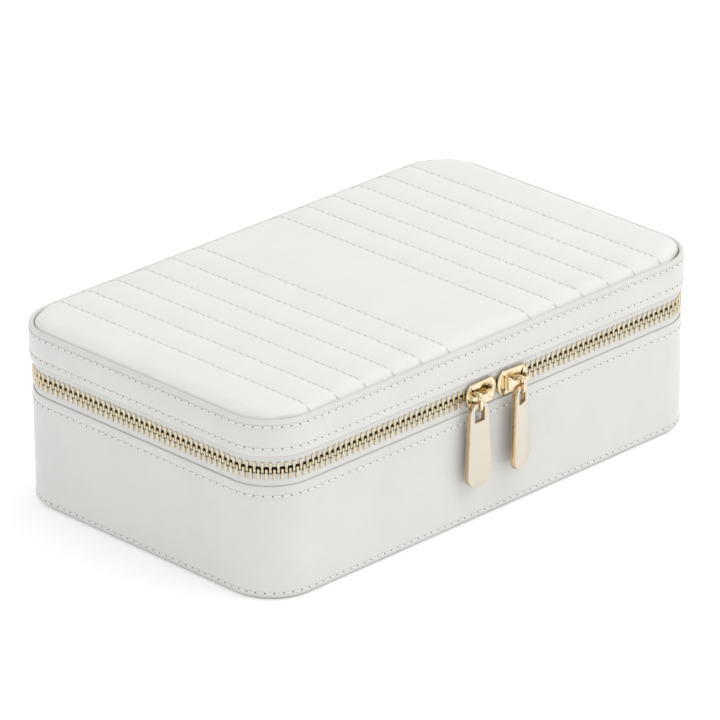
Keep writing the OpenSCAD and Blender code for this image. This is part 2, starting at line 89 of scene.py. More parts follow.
def rgba(colour):
    return (colour[0], colour[1], colour[2], 1.0)


def newMaterial(name, **constants):
    material = bpy.data.materials.new(name)
    material.use_nodes = True
    tree = material.node_tree
    tree.nodes.clear()
    shader = tree.nodes.new("ShaderNodeBsdfPrincipled")
    output = tree.nodes.new("ShaderNodeOutputMaterial")
    tree.links.new(shader.outputs[0], output.inputs[0])
    for key, value in constants.items():
        shader.inputs[key.replace("_", " ")].default_value = value
    return material, tree, shader


def objectCoords(tree, scale=None):
    coords = addNode(tree, "ShaderNodeTexCoord").outputs["Object"]
    if scale is None:
        return coords
    return addNode(tree, "ShaderNodeMapping", {"Vector": coords, "Scale": scale}).outputs[0]


# the piece's own map, with one unit to a millimetre
def mapCoords(tree):
    uv = addNode(tree, "ShaderNodeUVMap", uv_map="pathUV").outputs[0]
    return addNode(tree, "ShaderNodeMapping", {"Vector": uv, "Scale": (1 / mm,) * 3}).outputs[0]


def noiseOf(tree, vector, scale, detail=3.0, rough=0.5):
    return addNode(tree, "ShaderNodeTexNoise", {
        "Vector": vector, "Scale": scale, "Detail": detail, "Roughness": rough}).outputs["Fac"]


def wavesOf(tree, vector, scale, direction, **inputs):
    named = {key.replace("_", " "): value for key, value in inputs.items()}
    return addNode(tree, "ShaderNodeTexWave", {"Vector": vector, "Scale": scale, **named},
                   bands_direction=direction).outputs["Fac"]


def remap(tree, value, low, high, start=0.3, end=0.7):
    return addNode(tree, "ShaderNodeMapRange", {
        "Value": value, "From Min": start, "From Max": end, "To Min": low, "To Max": high}).outputs[0]


def blendColours(tree, factor, a, b):
    return addNode(tree, "ShaderNodeMix", {0: factor, 6: a, 7: b}, data_type="RGBA").outputs[2]


def mathOf(tree, operation, a, b=None):
    return addNode(tree, "ShaderNodeMath", {0: a, 1: b}, operation=operation).outputs[0]


# links colour and roughness, and chains bumps given as (height, distance, strength)
def dress(tree, shader, tone, rough, bumps):
    tree.links.new(tone, shader.inputs["Base Color"])
    tree.links.new(rough, shader.inputs["Roughness"])
    normal = None
    for height, distance, strength in bumps:
        normal = addNode(tree, "ShaderNodeBump", {
            "Height": height, "Distance": distance, "Strength": strength, "Normal": normal}).outputs[0]
    if normal:
        tree.links.new(normal, shader.inputs["Normal"])


leatherLook = {"tone": (0.742, 0.740, 0.708), "shade": (0.692, 0.690, 0.668), "grainSize": 0.42,
               "grainDepth": 0.035, "creaseDepth": 0.05, "roughness": (0.34, 0.46)}


def leatherMaterial(name, look):
    material, tree, shader = newMaterial(
        name, Coat_Weight=0.12, Coat_Roughness=0.32, Specular_IOR_Level=0.45, IOR=1.47)
    coords = objectCoords(tree)
    cells = addNode(tree, "ShaderNodeTexVoronoi", {
        "Vector": coords, "Scale": 1 / (look["grainSize"] * mm), "Randomness": 1.0},
        feature="SMOOTH_F1").outputs["Distance"]
    fine = noiseOf(tree, coords, 5200.0, 2.0)
    cloud = noiseOf(tree, coords, 28.0, 4.0, 0.55)
    patches = noiseOf(tree, coords, 95.0, 3.0, 0.6)
    mixed = mathOf(tree, "MULTIPLY", remap(tree, cloud, 0.0, 1.0), remap(tree, patches, 0.55, 1.0))
    tone = blendColours(tree, mixed, rgba(look["tone"]), rgba(look["shade"]))
    # painted shade for the grain's pits: the tone darkens where the cells' distance is high
    pitShade = mathOf(tree, "MULTIPLY", remap(tree, cells, 0.0, 1.0, 0.55, 0.85), 0.10)
    tone = blendColours(tree, pitShade, tone, rgba([c * 0.8 for c in look["shade"]]))
    dress(tree, shader, tone, remap(tree, patches, *look["roughness"]), [
        (patches, look["creaseDepth"] * mm * 2, 0.35), (cells, look["grainDepth"] * mm, 0.5),
        (fine, 0.012 * mm, 0.4)])
    return material


metalLook = {"colour": (0.705, 0.65, 0.548), "deep": (0.67, 0.606, 0.49), "roughness": (0.13, 0.22)}


def metalMaterial(name, look, brushed=True):
    material, tree, shader = newMaterial(name, Metallic=1.0, Specular_IOR_Level=0.5)
    strokes = noiseOf(tree, objectCoords(tree, (9000, 9000, 350) if brushed else (2600,) * 3), 1.0, 3.0, 0.6)
    cloud = noiseOf(tree, objectCoords(tree), 320.0, 3.0, 0.6)
    tone = blendColours(tree, remap(tree, cloud, 0.0, 0.45), rgba(look["colour"]), rgba(look["deep"]))
    rough = mathOf(tree, "ADD", remap(tree, strokes, *look["roughness"]), remap(tree, cloud, 0.0, 0.04))
    dress(tree, shader, tone, rough, [(strokes, 0.003 * mm, 0.35), (cloud, 0.01 * mm, 0.25)])
    return material


def threadMaterial():
    material, tree, shader = newMaterial("stitchThread", Sheen_Weight=0.25, Sheen_Roughness=0.4)
    fibres = noiseOf(tree, objectCoords(tree), 4200.0, 3.0, 0.65)
    tone = blendColours(tree, remap(tree, fibres, 0.0, 1.0), (0.90, 0.895, 0.865, 1), (0.81, 0.805, 0.775, 1))
    dress(tree, shader, tone, remap(tree, fibres, 0.5, 0.75), [(fibres, 0.05 * mm, 0.6)])
    return material


# dark discs that paint the shade inside needle holes
def holeMaterial(name, deep, pale):
    material, tree, shader = newMaterial(name, Specular_IOR_Level=0.2)
    grain = noiseOf(tree, objectCoords(tree), 3000.0)
    dress(tree, shader, blendColours(tree, grain, rgba(deep), rgba(pale)), remap(tree, grain, 0.75, 0.95), [])
    return material


def velvetMaterial(name, tone, shade, pile=1.0):
    material, tree, shader = newMaterial(
        name, Sheen_Weight=0.55, Sheen_Roughness=0.35, Sheen_Tint=(1.0, 0.98, 0.95, 1.0),
        Specular_IOR_Level=0.2)
    nap = noiseOf(tree, objectCoords(tree), 2400.0, 4.0, 0.7)
    lay = noiseOf(tree, objectCoords(tree, (38, 60, 45)), 1.0, 4.0, 0.6)
    soft = blendColours(tree, remap(tree, lay, 0.0, 1.0, 0.38, 0.62), rgba(tone), rgba(shade))
    fuzzy = blendColours(tree, remap(tree, nap, 0.0, 0.35), soft, rgba([c * 0.6 for c in shade]))
    dress(tree, shader, fuzzy, remap(tree, nap, 0.82, 0.98), [
        (lay, 0.5 * mm * pile, 0.25), (nap, 0.16 * mm * pile, 0.6)])
    return material


def tapeMaterial():
    material, tree, shader = newMaterial(
        "zipTapeWeave", Sheen_Weight=0.2, Sheen_Roughness=0.5, Specular_IOR_Level=0.3)
    uv = mapCoords(tree)
    twill = wavesOf(tree, uv, 0.75, "DIAGONAL", Distortion=0.6, Detail=1.0, Detail_Scale=2.0)
    weave = mathOf(tree, "MULTIPLY", twill, wavesOf(tree, uv, 0.55, "Y", Distortion=0.2))
    fuzz = noiseOf(tree, objectCoords(tree), 3500.0, 3.0, 0.65)
    # painted shade: the tone is darker where the weave's bump is low
    weaveShade = remap(tree, weave, 0.0, 1.0, 0.0, 0.8)
    tone = blendColours(tree, weaveShade, (0.70, 0.70, 0.675, 1), (0.82, 0.82, 0.795, 1))
    tone = blendColours(tree, remap(tree, fuzz, 0.0, 0.3), tone, (0.72, 0.715, 0.68, 1))
    dress(tree, shader, tone, remap(tree, fuzz, 0.6, 0.85), [(weave, 0.08 * mm, 0.6), (fuzz, 0.05 * mm, 0.4)])
    return material


def elasticMaterial():
    material, tree, shader = newMaterial("pocketElastic", Sheen_Weight=0.3, Specular_IOR_Level=0.25)
    ribs = wavesOf(tree, mapCoords(tree), 0.3, "X", Distortion=0.3)
    fuzz = noiseOf(tree, objectCoords(tree), 3200.0, 3.0, 0.65)
    # painted shade: the tone is darker in the grooves between the ribs, where their bump is low
    tone = blendColours(tree, ribs, (0.45, 0.43, 0.41, 1), (0.62, 0.60, 0.575, 1))
    dress(tree, shader, tone, remap(tree, fuzz, 0.65, 0.9), [(ribs, 0.3 * mm, 0.7), (fuzz, 0.06 * mm, 0.5)])
    return material


def boardMaterial():
    material, tree, shader = newMaterial("fibreBoard", Specular_IOR_Level=0.25)
    fibres = noiseOf(tree, objectCoords(tree, (900, 900, 2600)), 1.0, 5.0, 0.7)
    flecks = noiseOf(tree, objectCoords(tree), 420.0, 3.0, 0.6)
    tone = blendColours(tree, remap(tree, fibres, 0.0, 1.0), (0.42, 0.36, 0.28, 1), (0.30, 0.25, 0.19, 1))
    tone = blendColours(tree, remap(tree, flecks, 0.0, 0.6, 0.5, 0.75), tone, (0.5, 0.46, 0.4, 1))
    dress(tree, shader, tone, remap(tree, fibres, 0.75, 0.95), [(fibres, 0.12 * mm, 0.5)])
    return material


def mirrorMaterial():
    material, tree, shader = newMaterial("mirrorSilver", Metallic=1.0, Coat_Weight=0.6, Coat_Roughness=0.02)
    smudge = noiseOf(tree, objectCoords(tree), 60.0, 5.0, 0.65)
    tone = blendColours(tree, remap(tree, smudge, 0.0, 1.0), (0.90, 0.92, 0.92, 1), (0.86, 0.885, 0.89, 1))
    dress(tree, shader, tone, remap(tree, smudge, 0.015, 0.06), [])
    return material


leather = leatherMaterial("pearlLeather", leatherLook)
# painted light: the same pearl leather made lighter on the lid's walls and piping, which look brighter than
# the base's walls
lidLeather = leatherMaterial("lidLeather", {
    **leatherLook, "tone": (0.762, 0.760, 0.727), "shade": (0.713, 0.711, 0.688)})
# painted light: the same leather made lighter again on the quilted top, which faces the light; its deeper
# creases are bump only
quiltLeather = leatherMaterial("quiltLeather", {
    **leatherLook, "tone": (0.868, 0.874, 0.822), "shade": (0.832, 0.838, 0.79), "creaseDepth": 0.08})
gold = metalMaterial("paleGold", metalLook)
zipGold = metalMaterial("zipGold", {
    "colour": (0.735, 0.66, 0.495), "deep": (0.49, 0.42, 0.28), "roughness": (0.20, 0.32)}, brushed=False)
castGold = metalMaterial("castGold", {
    "colour": (0.90, 0.78, 0.56), "deep": (0.80, 0.64, 0.39), "roughness": (0.07, 0.15)}, brushed=False)
# painted shade and reflection: a darker copy of the gold for the edges of the sliders and pulls, where the
# shaded wall and dark surroundings reflect
edgeGold = metalMaterial("edgeGold", {
    "colour": (0.66, 0.51, 0.31), "deep": (0.52, 0.385, 0.21), "roughness": (0.14, 0.24)})
thread = threadMaterial()
# painted shade in the needle holes: darker on the walls, paler on the quilted top
needleHole = holeMaterial("needleHole", (0.19, 0.18, 0.165), (0.36, 0.345, 0.32))
quiltHole = holeMaterial("quiltHole", (0.42, 0.41, 0.38), (0.58, 0.565, 0.53))
velvet = velvetMaterial("greyVelvet", (0.46, 0.44, 0.42), (0.37, 0.355, 0.34))
rollVelvet = velvetMaterial("rollVelvet", (0.50, 0.48, 0.455), (0.40, 0.385, 0.37), 1.3)
pocketSuede = velvetMaterial("pocketSuede", (0.47, 0.45, 0.43), (0.38, 0.365, 0.35), 0.6)
felt = velvetMaterial("bottomFelt", (0.60, 0.59, 0.575), (0.50, 0.49, 0.48), 1.2)
tapeWeave = tapeMaterial()
elastic = elasticMaterial()
board = boardMaterial()
silver = mirrorMaterial()
print("materials made")


def meshObject(name, verts, faces, materials, uvs=None, sharpAngle=38, recalc=True):
    mesh = bpy.data.meshes.new(name)
    mesh.from_pydata([tuple(float(c) for c in v) for v in verts], [], faces)
    if uvs is not None:
        layer = mesh.uv_layers.new(name="pathUV")
        layer.data.foreach_set("uv", np.asarray(uvs, np.float32).ravel())
    if recalc:
        work = bmesh.new()
        work.from_mesh(mesh)
        bmesh.ops.recalc_face_normals(work, faces=work.faces)
        work.to_mesh(mesh)
        work.free()
    for material in materials:
        mesh.materials.append(material)
    return shaded(name, mesh, sharpAngle)


def shaded(name, mesh, sharpAngle):
    mesh.polygons.foreach_set("use_smooth", [True] * len(mesh.polygons))
    mesh.set_sharp_from_angle(angle=math.radians(sharpAngle))
    made = bpy.data.objects.new(name, mesh)
    bpy.context.scene.collection.objects.link(made)
    return made


def finishPiece(piece, body, nodes=()):
    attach(piece, body)
    if nodes:
        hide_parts(*nodes)
    return piece


# a piece from its vertices and faces
def addPiece(name, shape, materials, body, slot, nodes, **more):
    return finishPiece(meshObject(name, *shape, materials, **more), body, nodes)


# the object's evaluated mesh, as a plain mesh
def bakedMesh(made):
    graph = bpy.context.evaluated_depsgraph_get()
    return bpy.data.meshes.new_from_object(
        made.evaluated_get(graph), preserve_all_data_layers=True, depsgraph=graph)


def applyModifiers(made):
    mesh = bakedMesh(made)
    mesh.name = made.name
    made.modifiers.clear()
    made.data = mesh


def subdivide(made, levels):
    smooth = made.modifiers.new("Subdivision", "SUBSURF")
    smooth.levels = smooth.render_levels = levels
    applyModifiers(made)


# quads between rows of points, with a map where u and v are given
def gridFaces(rows, cols, closedRows, closedCols, u=None, v=None):
    faces, uvs = [], []
    for i in range(rows if closedRows else rows - 1):
        k = (i + 1) % rows
        for j in range(cols if closedCols else cols - 1):
            m = (j + 1) % cols
            faces.append((i * cols + j, k * cols + j, k * cols + m, i * cols + m))
            if u is not None:
                uvs += [(u[i], v[j]), (u[i + 1], v[j]), (u[i + 1], v[j + 1]), (u[i], v[j + 1])]
    return faces, uvs


def endCaps(rows, cols):
    return [tuple(reversed(range(cols))), tuple((rows - 1) * cols + k for k in range(cols))]


# the points round the edge of an open grid
def gridRim(rows, cols):
    rim = [(i, 0) for i in range(rows)] + [(rows - 1, j) for j in range(1, cols)]
    rim += [(i, cols - 1) for i in range(rows - 2, -1, -1)] + [(0, j) for j in range(cols - 2, 0, -1)]
    return [i * cols + j for i, j in rim]


def running(points, closed):
    points = np.asarray(points, float)
    steps = np.linalg.norm(np.diff(np.vstack([points, points[:1]]) if closed else points, axis=0), axis=1)
    return np.concatenate([[0], np.cumsum(steps)])


# a closed line with its corners rounded
def rounded(points, radii, steps=4):
    out = []
    count = len(points)
    for i, (p, r) in enumerate(zip(points, radii)):
        p = Vector(p)
        if r <= 0:
            out.append(tuple(p))
            continue
        before, after = Vector(points[i - 1]) - p, Vector(points[(i + 1) % count]) - p
        half = before.angle(after) / 2
        reach = min(r / math.tan(half), before.length * 0.49, after.length * 0.49)
        real = reach * math.tan(half)
        a, b = p + before.normalized() * reach, p + after.normalized() * reach
        centre = p + (before.normalized() + after.normalized()).normalized() * (real / math.sin(half))
        for k in range(steps + 1):
            way = (a - centre).lerp(b - centre, k / steps)
            out.append(tuple(centre + way.normalized() * real))
    return out


# places and outward directions round a rounded rectangle, counter-clockwise from above,
# with points along the straight sides too where a spacing is given
def roundedLoop(halfX, halfY, radius, steps=10, spacing=None):
    places, outs = [], []
    for cx, cy, start in corners:
        for k in range(steps + 1):
            a = math.radians(start + 90 * k / steps)
            outs.append((math.cos(a), math.sin(a)))
            places.append((cx * (halfX - radius) + radius * math.cos(a),
                           cy * (halfY - radius) + radius * math.sin(a)))
        straight = 2 * ((halfX if start % 180 == 0 else halfY) - radius)
        (x, y), out = places[-1], outs[-1]
        pieces = int(straight / spacing) if spacing else 1
        for k in range(1, pieces):
            d = straight * k / pieces
            places.append((x - out[1] * d, y + out[0] * d))
            outs.append(out)
    return places, outs


def rimPath(spacing=6.0):
    places, outs = roundedLoop(case["length"] / 2, case["depth"] / 2, case["cornerRadius"], 18, spacing)
    return np.array(places), np.array(outs)


# a closed profile of (out, z) taken all round the case
def sweepRim(name, profile, material, body, slot, nodes, wobble=None):
    places, outs = rimPath()
    around = running(places, True)
    verts = []
    for place, direction, s in zip(places, outs, around):
        for out, z in profile:
            x, y = place + direction * (out + (wobble(s) if wobble else 0.0))
            verts.append((x * mm, y * mm, z * mm))
    faces, uvs = gridFaces(len(places), len(profile), True, True, around * mm, running(profile, True) * mm)
    return addPiece(name, (verts, faces), [material], body, slot, nodes, uvs=uvs)


# a section of (side, up) taken along points
def sweepAlong(points, sides, ups, section, closed=False):
    verts = [tuple(Vector(p) + Vector(s) * a + Vector(u) * b)
             for p, s, u in zip(points, sides, ups) for a, b in section]
    faces, _ = gridFaces(len(points), len(section), closed, True)
    if not closed:
        faces += endCaps(len(points), len(section))
    return verts, faces


def joined(parts):
    verts, faces = [], []
    for v, f in parts:
        base = len(verts)
        verts += v
        faces += [tuple(base + k for k in face) for face in f]
    return verts, faces


def scaled(part):
    return [tuple(c * mm for c in v) for v in part[0]], part[1]


# a box with rounded edges between two corners in millimetres
def roundBox(low, high, radius, steps=2):
    work = bmesh.new()
    size = Vector(high) - Vector(low)
    centre = (Vector(high) + Vector(low)) / 2
    bmesh.ops.create_cube(work, size=1.0, matrix=Matrix.Translation(centre) @ Matrix.Diagonal((*size, 1.0)))
    bmesh.ops.bevel(work, geom=list(work.edges), offset=radius, segments=steps, profile=0.5, affect="EDGES")
    verts = [tuple(v.co * mm) for v in work.verts]
    work.verts.index_update()
    faces = [tuple(v.index for v in f.verts) for f in work.faces]
    work.free()
    return verts, faces


# a rounded plate between z0 and z1, with a soft edge
def slab(centre, halfX, halfY, radius, z0, z1, edge, steps=3):
    bends = [math.pi / 2 * k / steps for k in range(steps + 1)]
    rings = [(edge * (1 - math.sin(a)), z0 + edge * (1 - math.cos(a))) for a in bends]
    rings += [(edge * (1 - math.cos(a)), z1 - edge * (1 - math.sin(a))) for a in bends]
    rings += [(edge + more, z1) for more in (2, 6, 14) if edge + more < min(halfX, halfY) - 2]
    verts = []
    for inset, z in rings:
        loop, _ = roundedLoop(halfX - inset, halfY - inset, max(radius - inset, 0.6))
        verts += [((centre[0] + x) * mm, (centre[1] + y) * mm, z * mm) for x, y in loop]
    faces, _ = gridFaces(len(rings), len(loop), False, True)
    return verts, faces + endCaps(len(rings), len(loop))


# a slab of the case's own outline, set in from its wall
def caseSlab(name, inset, z0, z1, edge, material, body, slot, nodes):
    sizes = [size - inset for size in (case["length"] / 2, case["depth"] / 2, case["cornerRadius"])]
    addPiece(name, slab((0, 0), *sizes, z0, z1, edge), [material], body, slot, nodes)


def nodeTree(name, inputs):
    tree = bpy.data.node_groups.new(name, "GeometryNodeTree")
    for side in ("INPUT", "OUTPUT"):
        tree.interface.new_socket(name="Geometry", in_out=side, socket_type="NodeSocketGeometry")
    for label, kind, value in inputs:
        socket = tree.interface.new_socket(name=label, in_out="INPUT", socket_type="NodeSocket" + kind)
        if value is not None:
            socket.default_value = value
    return tree, tree.nodes.new("NodeGroupInput").outputs, tree.nodes.new("NodeGroupOutput")


def pathCurve(name, lines, closed):
    curve = bpy.data.curves.new(name, "CURVE")
    curve.dimensions = "3D"
    for line in lines:
        spline = curve.splines.new("POLY")
        spline.points.add(len(line) - 1)
        spline.points.foreach_set("co", np.hstack([np.asarray(line, float), np.ones((len(line), 1))]).ravel())
        spline.use_cyclic_u = closed
    made = bpy.data.objects.new(name, curve)
    scratch.objects.link(made)
    return made


# runs the tree on a path and keeps the result as one plain mesh
def growFrom(lines, closed, tree, values, name, body, nodes=(), sharpAngle=50):
    source = pathCurve(name + "Path", lines, closed)
    modifier = source.modifiers.new("grow", "NODES")
    modifier.node_group = tree
    for item in tree.interface.items_tree:
        if item.item_type == "SOCKET" and item.in_out == "INPUT" and item.name in values:
            modifier[item.identifier] = values[item.name]
    bpy.context.view_layer.update()
    mesh = bakedMesh(source)
    mesh.name = name
    source.modifiers.clear()
    bpy.data.objects.remove(source)
    return finishPiece(shaded(name, mesh, sharpAngle), body, nodes)


# copies of a shape at points, as real geometry in one material
def placeCopies(tree, points, shape, turn, material):
    placed = addNode(tree, "GeometryNodeInstanceOnPoints", {
        "Points": points, "Instance": shape, "Rotation": turn}).outputs[0]
    real = addNode(tree, "GeometryNodeRealizeInstances", {"Geometry": placed}).outputs[0]
    return addNode(tree, "GeometryNodeSetMaterial", {"Geometry": real, "Material": material}).outputs[0]


# points at even steps along the path
def evenPoints(tree, given, key, mode):
    return addNode(tree, "GeometryNodeResampleCurve", {
        "Curve": given["Geometry"], mode.title(): given[key]}, mode=mode).outputs[0]


# rotation with X along the path
def facePath(tree):
    tangent = addNode(tree, "GeometryNodeInputTangent").outputs[0]
    turn = addNode(tree, "FunctionNodeAlignRotationToVector", {"Vector": tangent}, axis="X").outputs[0]
    return tangent, turn


# the same, with Z away from the surface that the path and the across direction lie on
def faceOutward(tree, across):
    tangent, first = facePath(tree)
    outward = addNode(tree, "ShaderNodeVectorMath", {0: tangent, 1: across},
                      operation="CROSS_PRODUCT").outputs[0]
    return addNode(tree, "FunctionNodeAlignRotationToVector", {"Rotation": first, "Vector": outward},
                   axis="Z", pivot_axis="X").outputs[0]


# a row of arched stitches with a dark disc of painted shade for the needle hole between each two
def stitchTree():
    tree, given, output = nodeTree("stitchRow", [
        ("Pitch", "Float", 0.0036), ("Length", "Float", 0.0027), ("Thickness", "Float", 0.00033),
        ("Rise", "Float", 0.0003), ("Hole Size", "Float", 0.00034), ("Across", "Vector", (0, 0, 1)),
        ("Thread", "Material", None), ("Hole", "Material", None)])
    row = evenPoints(tree, given, "Pitch", "LENGTH")
    turn = faceOutward(tree, given["Across"])
    half = mathOf(tree, "MULTIPLY", given["Length"], 0.5)
    back = mathOf(tree, "MULTIPLY", given["Length"], -0.5)
    sink = mathOf(tree, "MULTIPLY", given["Thickness"], -0.6)
    crest = mathOf(tree, "MULTIPLY", given["Rise"], 2.0)
    ends = [addNode(tree, "ShaderNodeCombineXYZ", {0: x, 2: z}).outputs[0]
            for x, z in ((back, sink), (0.0, crest), (half, sink))]
    arc = addNode(tree, "GeometryNodeCurveQuadraticBezier",
                  {"Resolution": 6, "Start": ends[0], "Middle": ends[1], "End": ends[2]})
    ring = addNode(tree, "GeometryNodeCurvePrimitiveCircle", {"Resolution": 6, "Radius": given["Thickness"]})
    strand = addNode(tree, "GeometryNodeCurveToMesh",
                     {"Curve": arc.outputs[0], "Profile Curve": ring.outputs[0], "Fill Caps": True})
    disc = addNode(tree, "GeometryNodeMeshCylinder",
                   {"Vertices": 8, "Radius": given["Hole Size"], "Depth": 0.00012}, fill_type="NGON")
    shift = addNode(tree, "ShaderNodeCombineXYZ", {0: mathOf(tree, "MULTIPLY", given["Pitch"], 0.5)})
    hole = addNode(tree, "GeometryNodeTransform", {
        "Geometry": disc.outputs["Mesh"], "Translation": shift.outputs[0]})
    join = addNode(tree, "GeometryNodeJoinGeometry")
    for shape, material in ((strand.outputs[0], given["Thread"]), (hole.outputs[0], given["Hole"])):
        tree.links.new(placeCopies(tree, row, shape, turn, material), join.inputs[0])
    tree.links.new(join.outputs[0], output.inputs[0])
    return tree


# short stitches on a level face
def levelStitchTree():
    tree, given, output = nodeTree("levelStitches", [
        ("Pitch", "Float", 0.00315), ("Length", "Float", 0.0022), ("Thickness", "Float", 0.00025),
        ("Material", "Material", None)])
    row = evenPoints(tree, given, "Pitch", "LENGTH")
    _, turn = facePath(tree)
    strand = addNode(tree, "GeometryNodeMeshUVSphere", {"Segments": 8, "Rings": 6, "Radius": 1.0})
    size = addNode(tree, "ShaderNodeCombineXYZ", {
        0: mathOf(tree, "MULTIPLY", given["Length"], 0.5), 1: given["Thickness"], 2: given["Thickness"]})
    shaped = addNode(tree, "GeometryNodeTransform", {"Geometry": strand.outputs[0], "Scale": size.outputs[0]})
    tree.links.new(placeCopies(tree, row, shaped.outputs[0], turn, given["Material"]), output.inputs[0])
    return tree


# copies of one piece along a path
def repeatTree():
    tree, given, output = nodeTree("repeatAlong", [
        ("Count", "Int", 10), ("Across", "Vector", (0, 0, 1)), ("Piece", "Object", None),
        ("Material", "Material", None)])
    row = evenPoints(tree, given, "Count", "COUNT")
    turn = faceOutward(tree, given["Across"])
    shape = addNode(tree, "GeometryNodeObjectInfo", {"Object": given["Piece"]}).outputs["Geometry"]
    tree.links.new(placeCopies(tree, row, shape, turn, given["Material"]), output.inputs[0])
    return tree


stitchRow = stitchTree()
levelStitches = levelStitchTree()
repeatAlong = repeatTree()


def growStitches(name, lines, closed, look, across, hole, body):
    values = {"Across": across, "Thread": thread, "Hole": hole, "Hole Size": look["hole"] * mm}
    values.update((key.title(), look[key] * mm) for key in ("pitch", "length", "thickness", "rise"))
    growFrom(lines, closed, stitchRow, values, name, body)


wallStitch = {"pitch": 3.6, "length": 2.7, "thickness": 0.33, "rise": 0.32, "hole": 0.36}


# stitch rows round the case at the given heights
def rimStitches(name, out, heights, body):
    places, outs = rimPath(spacing=3.0)
    lines = [[((p[0] + o[0] * out) * mm, (p[1] + o[1] * out) * mm, z * mm) for p, o in zip(places, outs)]
             for z in heights]
    growStitches(name, lines, True, wallStitch, (0, 0, 1), needleHole, body)


baseLook = {"bead": 0.22, "stitchLow": 3.0, "stitchHigh": 42.9, "channel": 0.14, "topFold": 0.5,
            "turnUnder": 9.0}


# leather turned under the floor at the foot and over the wall at the top
def baseWrap():
    low, high, top = baseLook["stitchLow"], baseLook["stitchHigh"], case["baseTop"]
    dip, bead, fold = -baseLook["channel"], baseLook["bead"], -baseLook["topFold"]
    foot, thick, under = case["padThick"], case["leatherThick"], -baseLook["turnUnder"]
    profile = rounded([(under, foot), (-1.0, foot), (0.0, foot + 0.5), (bead, foot + 1.0)],
                      [0, 0.5, 0.6, 0.4], 3)
    profile += [(bead * 0.6, low - 0.55), (dip, low - 0.18), (dip, low + 0.2), (-0.02, low + 0.75),
                (0.0, low + 1.8)]
    profile += [(0.0, z) for z in np.linspace(low + 5, high - 5, 8)]
    profile += [(0.03, high - 1.8), (0.0, high - 0.75), (dip, high - 0.2), (dip, high + 0.2),
                (0.02, high + 0.8), (0.05, high + 1.8)]
    profile += rounded([(0.05, top - 0.6), (0.0, top), (fold, top), (fold, top - 1.6)],
                       [0, 0.38, 0.2, 0], 3)[1:-1]
    profile += [(fold, top - 1.6), (-thick, top - 1.8), (-thick, foot + thick), (under, foot + thick)]
    sweepRim("baseWrap", profile, leather, "base", "leather", ["base_cover"])


baseWrap()
rimStitches("baseStitches", -baseLook["channel"], (baseLook["stitchLow"], baseLook["stitchHigh"]), "base")

feltLook = {"inset": 1.4, "edge": 0.35}
caseSlab("bottomFelt", feltLook["inset"], 0.0, case["padThick"], feltLook["edge"], felt,
         "base", "bottom_felt", ["bottom_pad"])

for nodeName in ("base_floor", "base_walls", "lid_top", "lid_walls"):
    cadNodes[nodeName].data.materials.clear()
    cadNodes[nodeName].data.materials.append(board)

# the wall linings end in a lip over the board, and overlap the edges of the floor's and the lid's linings
liningLook = {"thick": 1.0, "lipOut": -1.55, "lip": 1.0, "overlap": 0.9, "floorEdge": 0.3,
              "lidTopInset": 3.35, "lidTopEdge": 0.2}


def wallLining():
    inner, outer, lip, top = case["liningInner"], case["boardInner"], liningLook["lipOut"], case["baseTop"]
    low, step = case["insideZ"] - liningLook["overlap"], top - liningLook["lip"]
    profile = rounded([(inner, low), (outer, low), (outer, step), (lip, step), (lip, top), (inner, top)],
                      [0, 0, 0, 0.1, 0.3, 0.8], 3)
    sweepRim("wallVelvet", profile, velvet, "base", "velvet", ["wall_lining"])


wallLining()
caseSlab("floorVelvet", -case["liningInner"], case["insideZ"] - liningLook["thick"], case["insideZ"],
         liningLook["floorEdge"], velvet, "base", "velvet", ["floor_lining"])


# a node's corners at rest, in millimetres
def nodeBox(node):
    return [[round(c / mm, 3) for c in corner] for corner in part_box(node)]


dividerLook = {"station": 5.0, "puff": 0.12}


# velvet wrapped round a board: a full round top and soft sides
def divider(node):
    low, high = nodeBox(node)
    run = 0 if high[0] - low[0] > high[1] - low[1] else 1
    z0, z1 = low[2], high[2]
    half = (high[1 - run] - low[1 - run]) / 2
    levels = (12, 20, 28, 36)
    section = [(-half, z0), (half, z0)] + [(half, z) for z in levels]
    section += [(half * math.cos(a), z1 - half + half * math.sin(a)) for a in np.linspace(0, math.pi, 9)]
    section += [(-half, z) for z in levels[::-1]]
    stations = np.linspace(low[run], high[run], max(4, int((high[run] - low[run]) / dividerLook["station"])))
    middle = (low[1 - run] + high[1 - run]) / 2
    points = [(s, middle, 0) if run == 0 else (middle, s, 0) for s in stations]
    sides = [(0, -1, 0) if run == 0 else (1, 0, 0)] * len(points)
    verts, faces = sweepAlong(points, sides, [up] * len(points), section)
    verts = [Vector(v) for v in verts]
    for v in verts:
        if z0 + 1 < v.z < z1 - 0.5:
            v[1 - run] += dividerLook["puff"] * noise.noise(Vector((v.x * 0.06, v.y * 0.06, v.z * 0.09)))
        v *= mm
    words = node.split("_")
    name = words[0] + "".join(w.title() for w in words[1:])
    addPiece(name, (verts, faces), [velvet], "base", "velvet", [node])


for place in ("left", "right", "ring_front", "mid_front", "mid_back"):
    divider("divider_" + place)
print("base made")

rollLook = {"count": 5, "length": 74.7, "radius": 7.8, "top": 43.9, "bottom": 27.9, "pitch": 16.0,
            "firstY": 59.0, "rightLimit": -38.4, "swell": 0.9, "fill": 0.85}


# how far left the round corner of the tray lets a point go
def cornerLimit(x, y, inset):
    cx, cy = insideRadius - insideX, insideY - insideRadius
    if y > cy:
        reach = (insideRadius - inset) ** 2 - (y - cy) ** 2
        return max(x, cx - math.sqrt(max(reach, 0)))
    return max(x, inset - insideX)


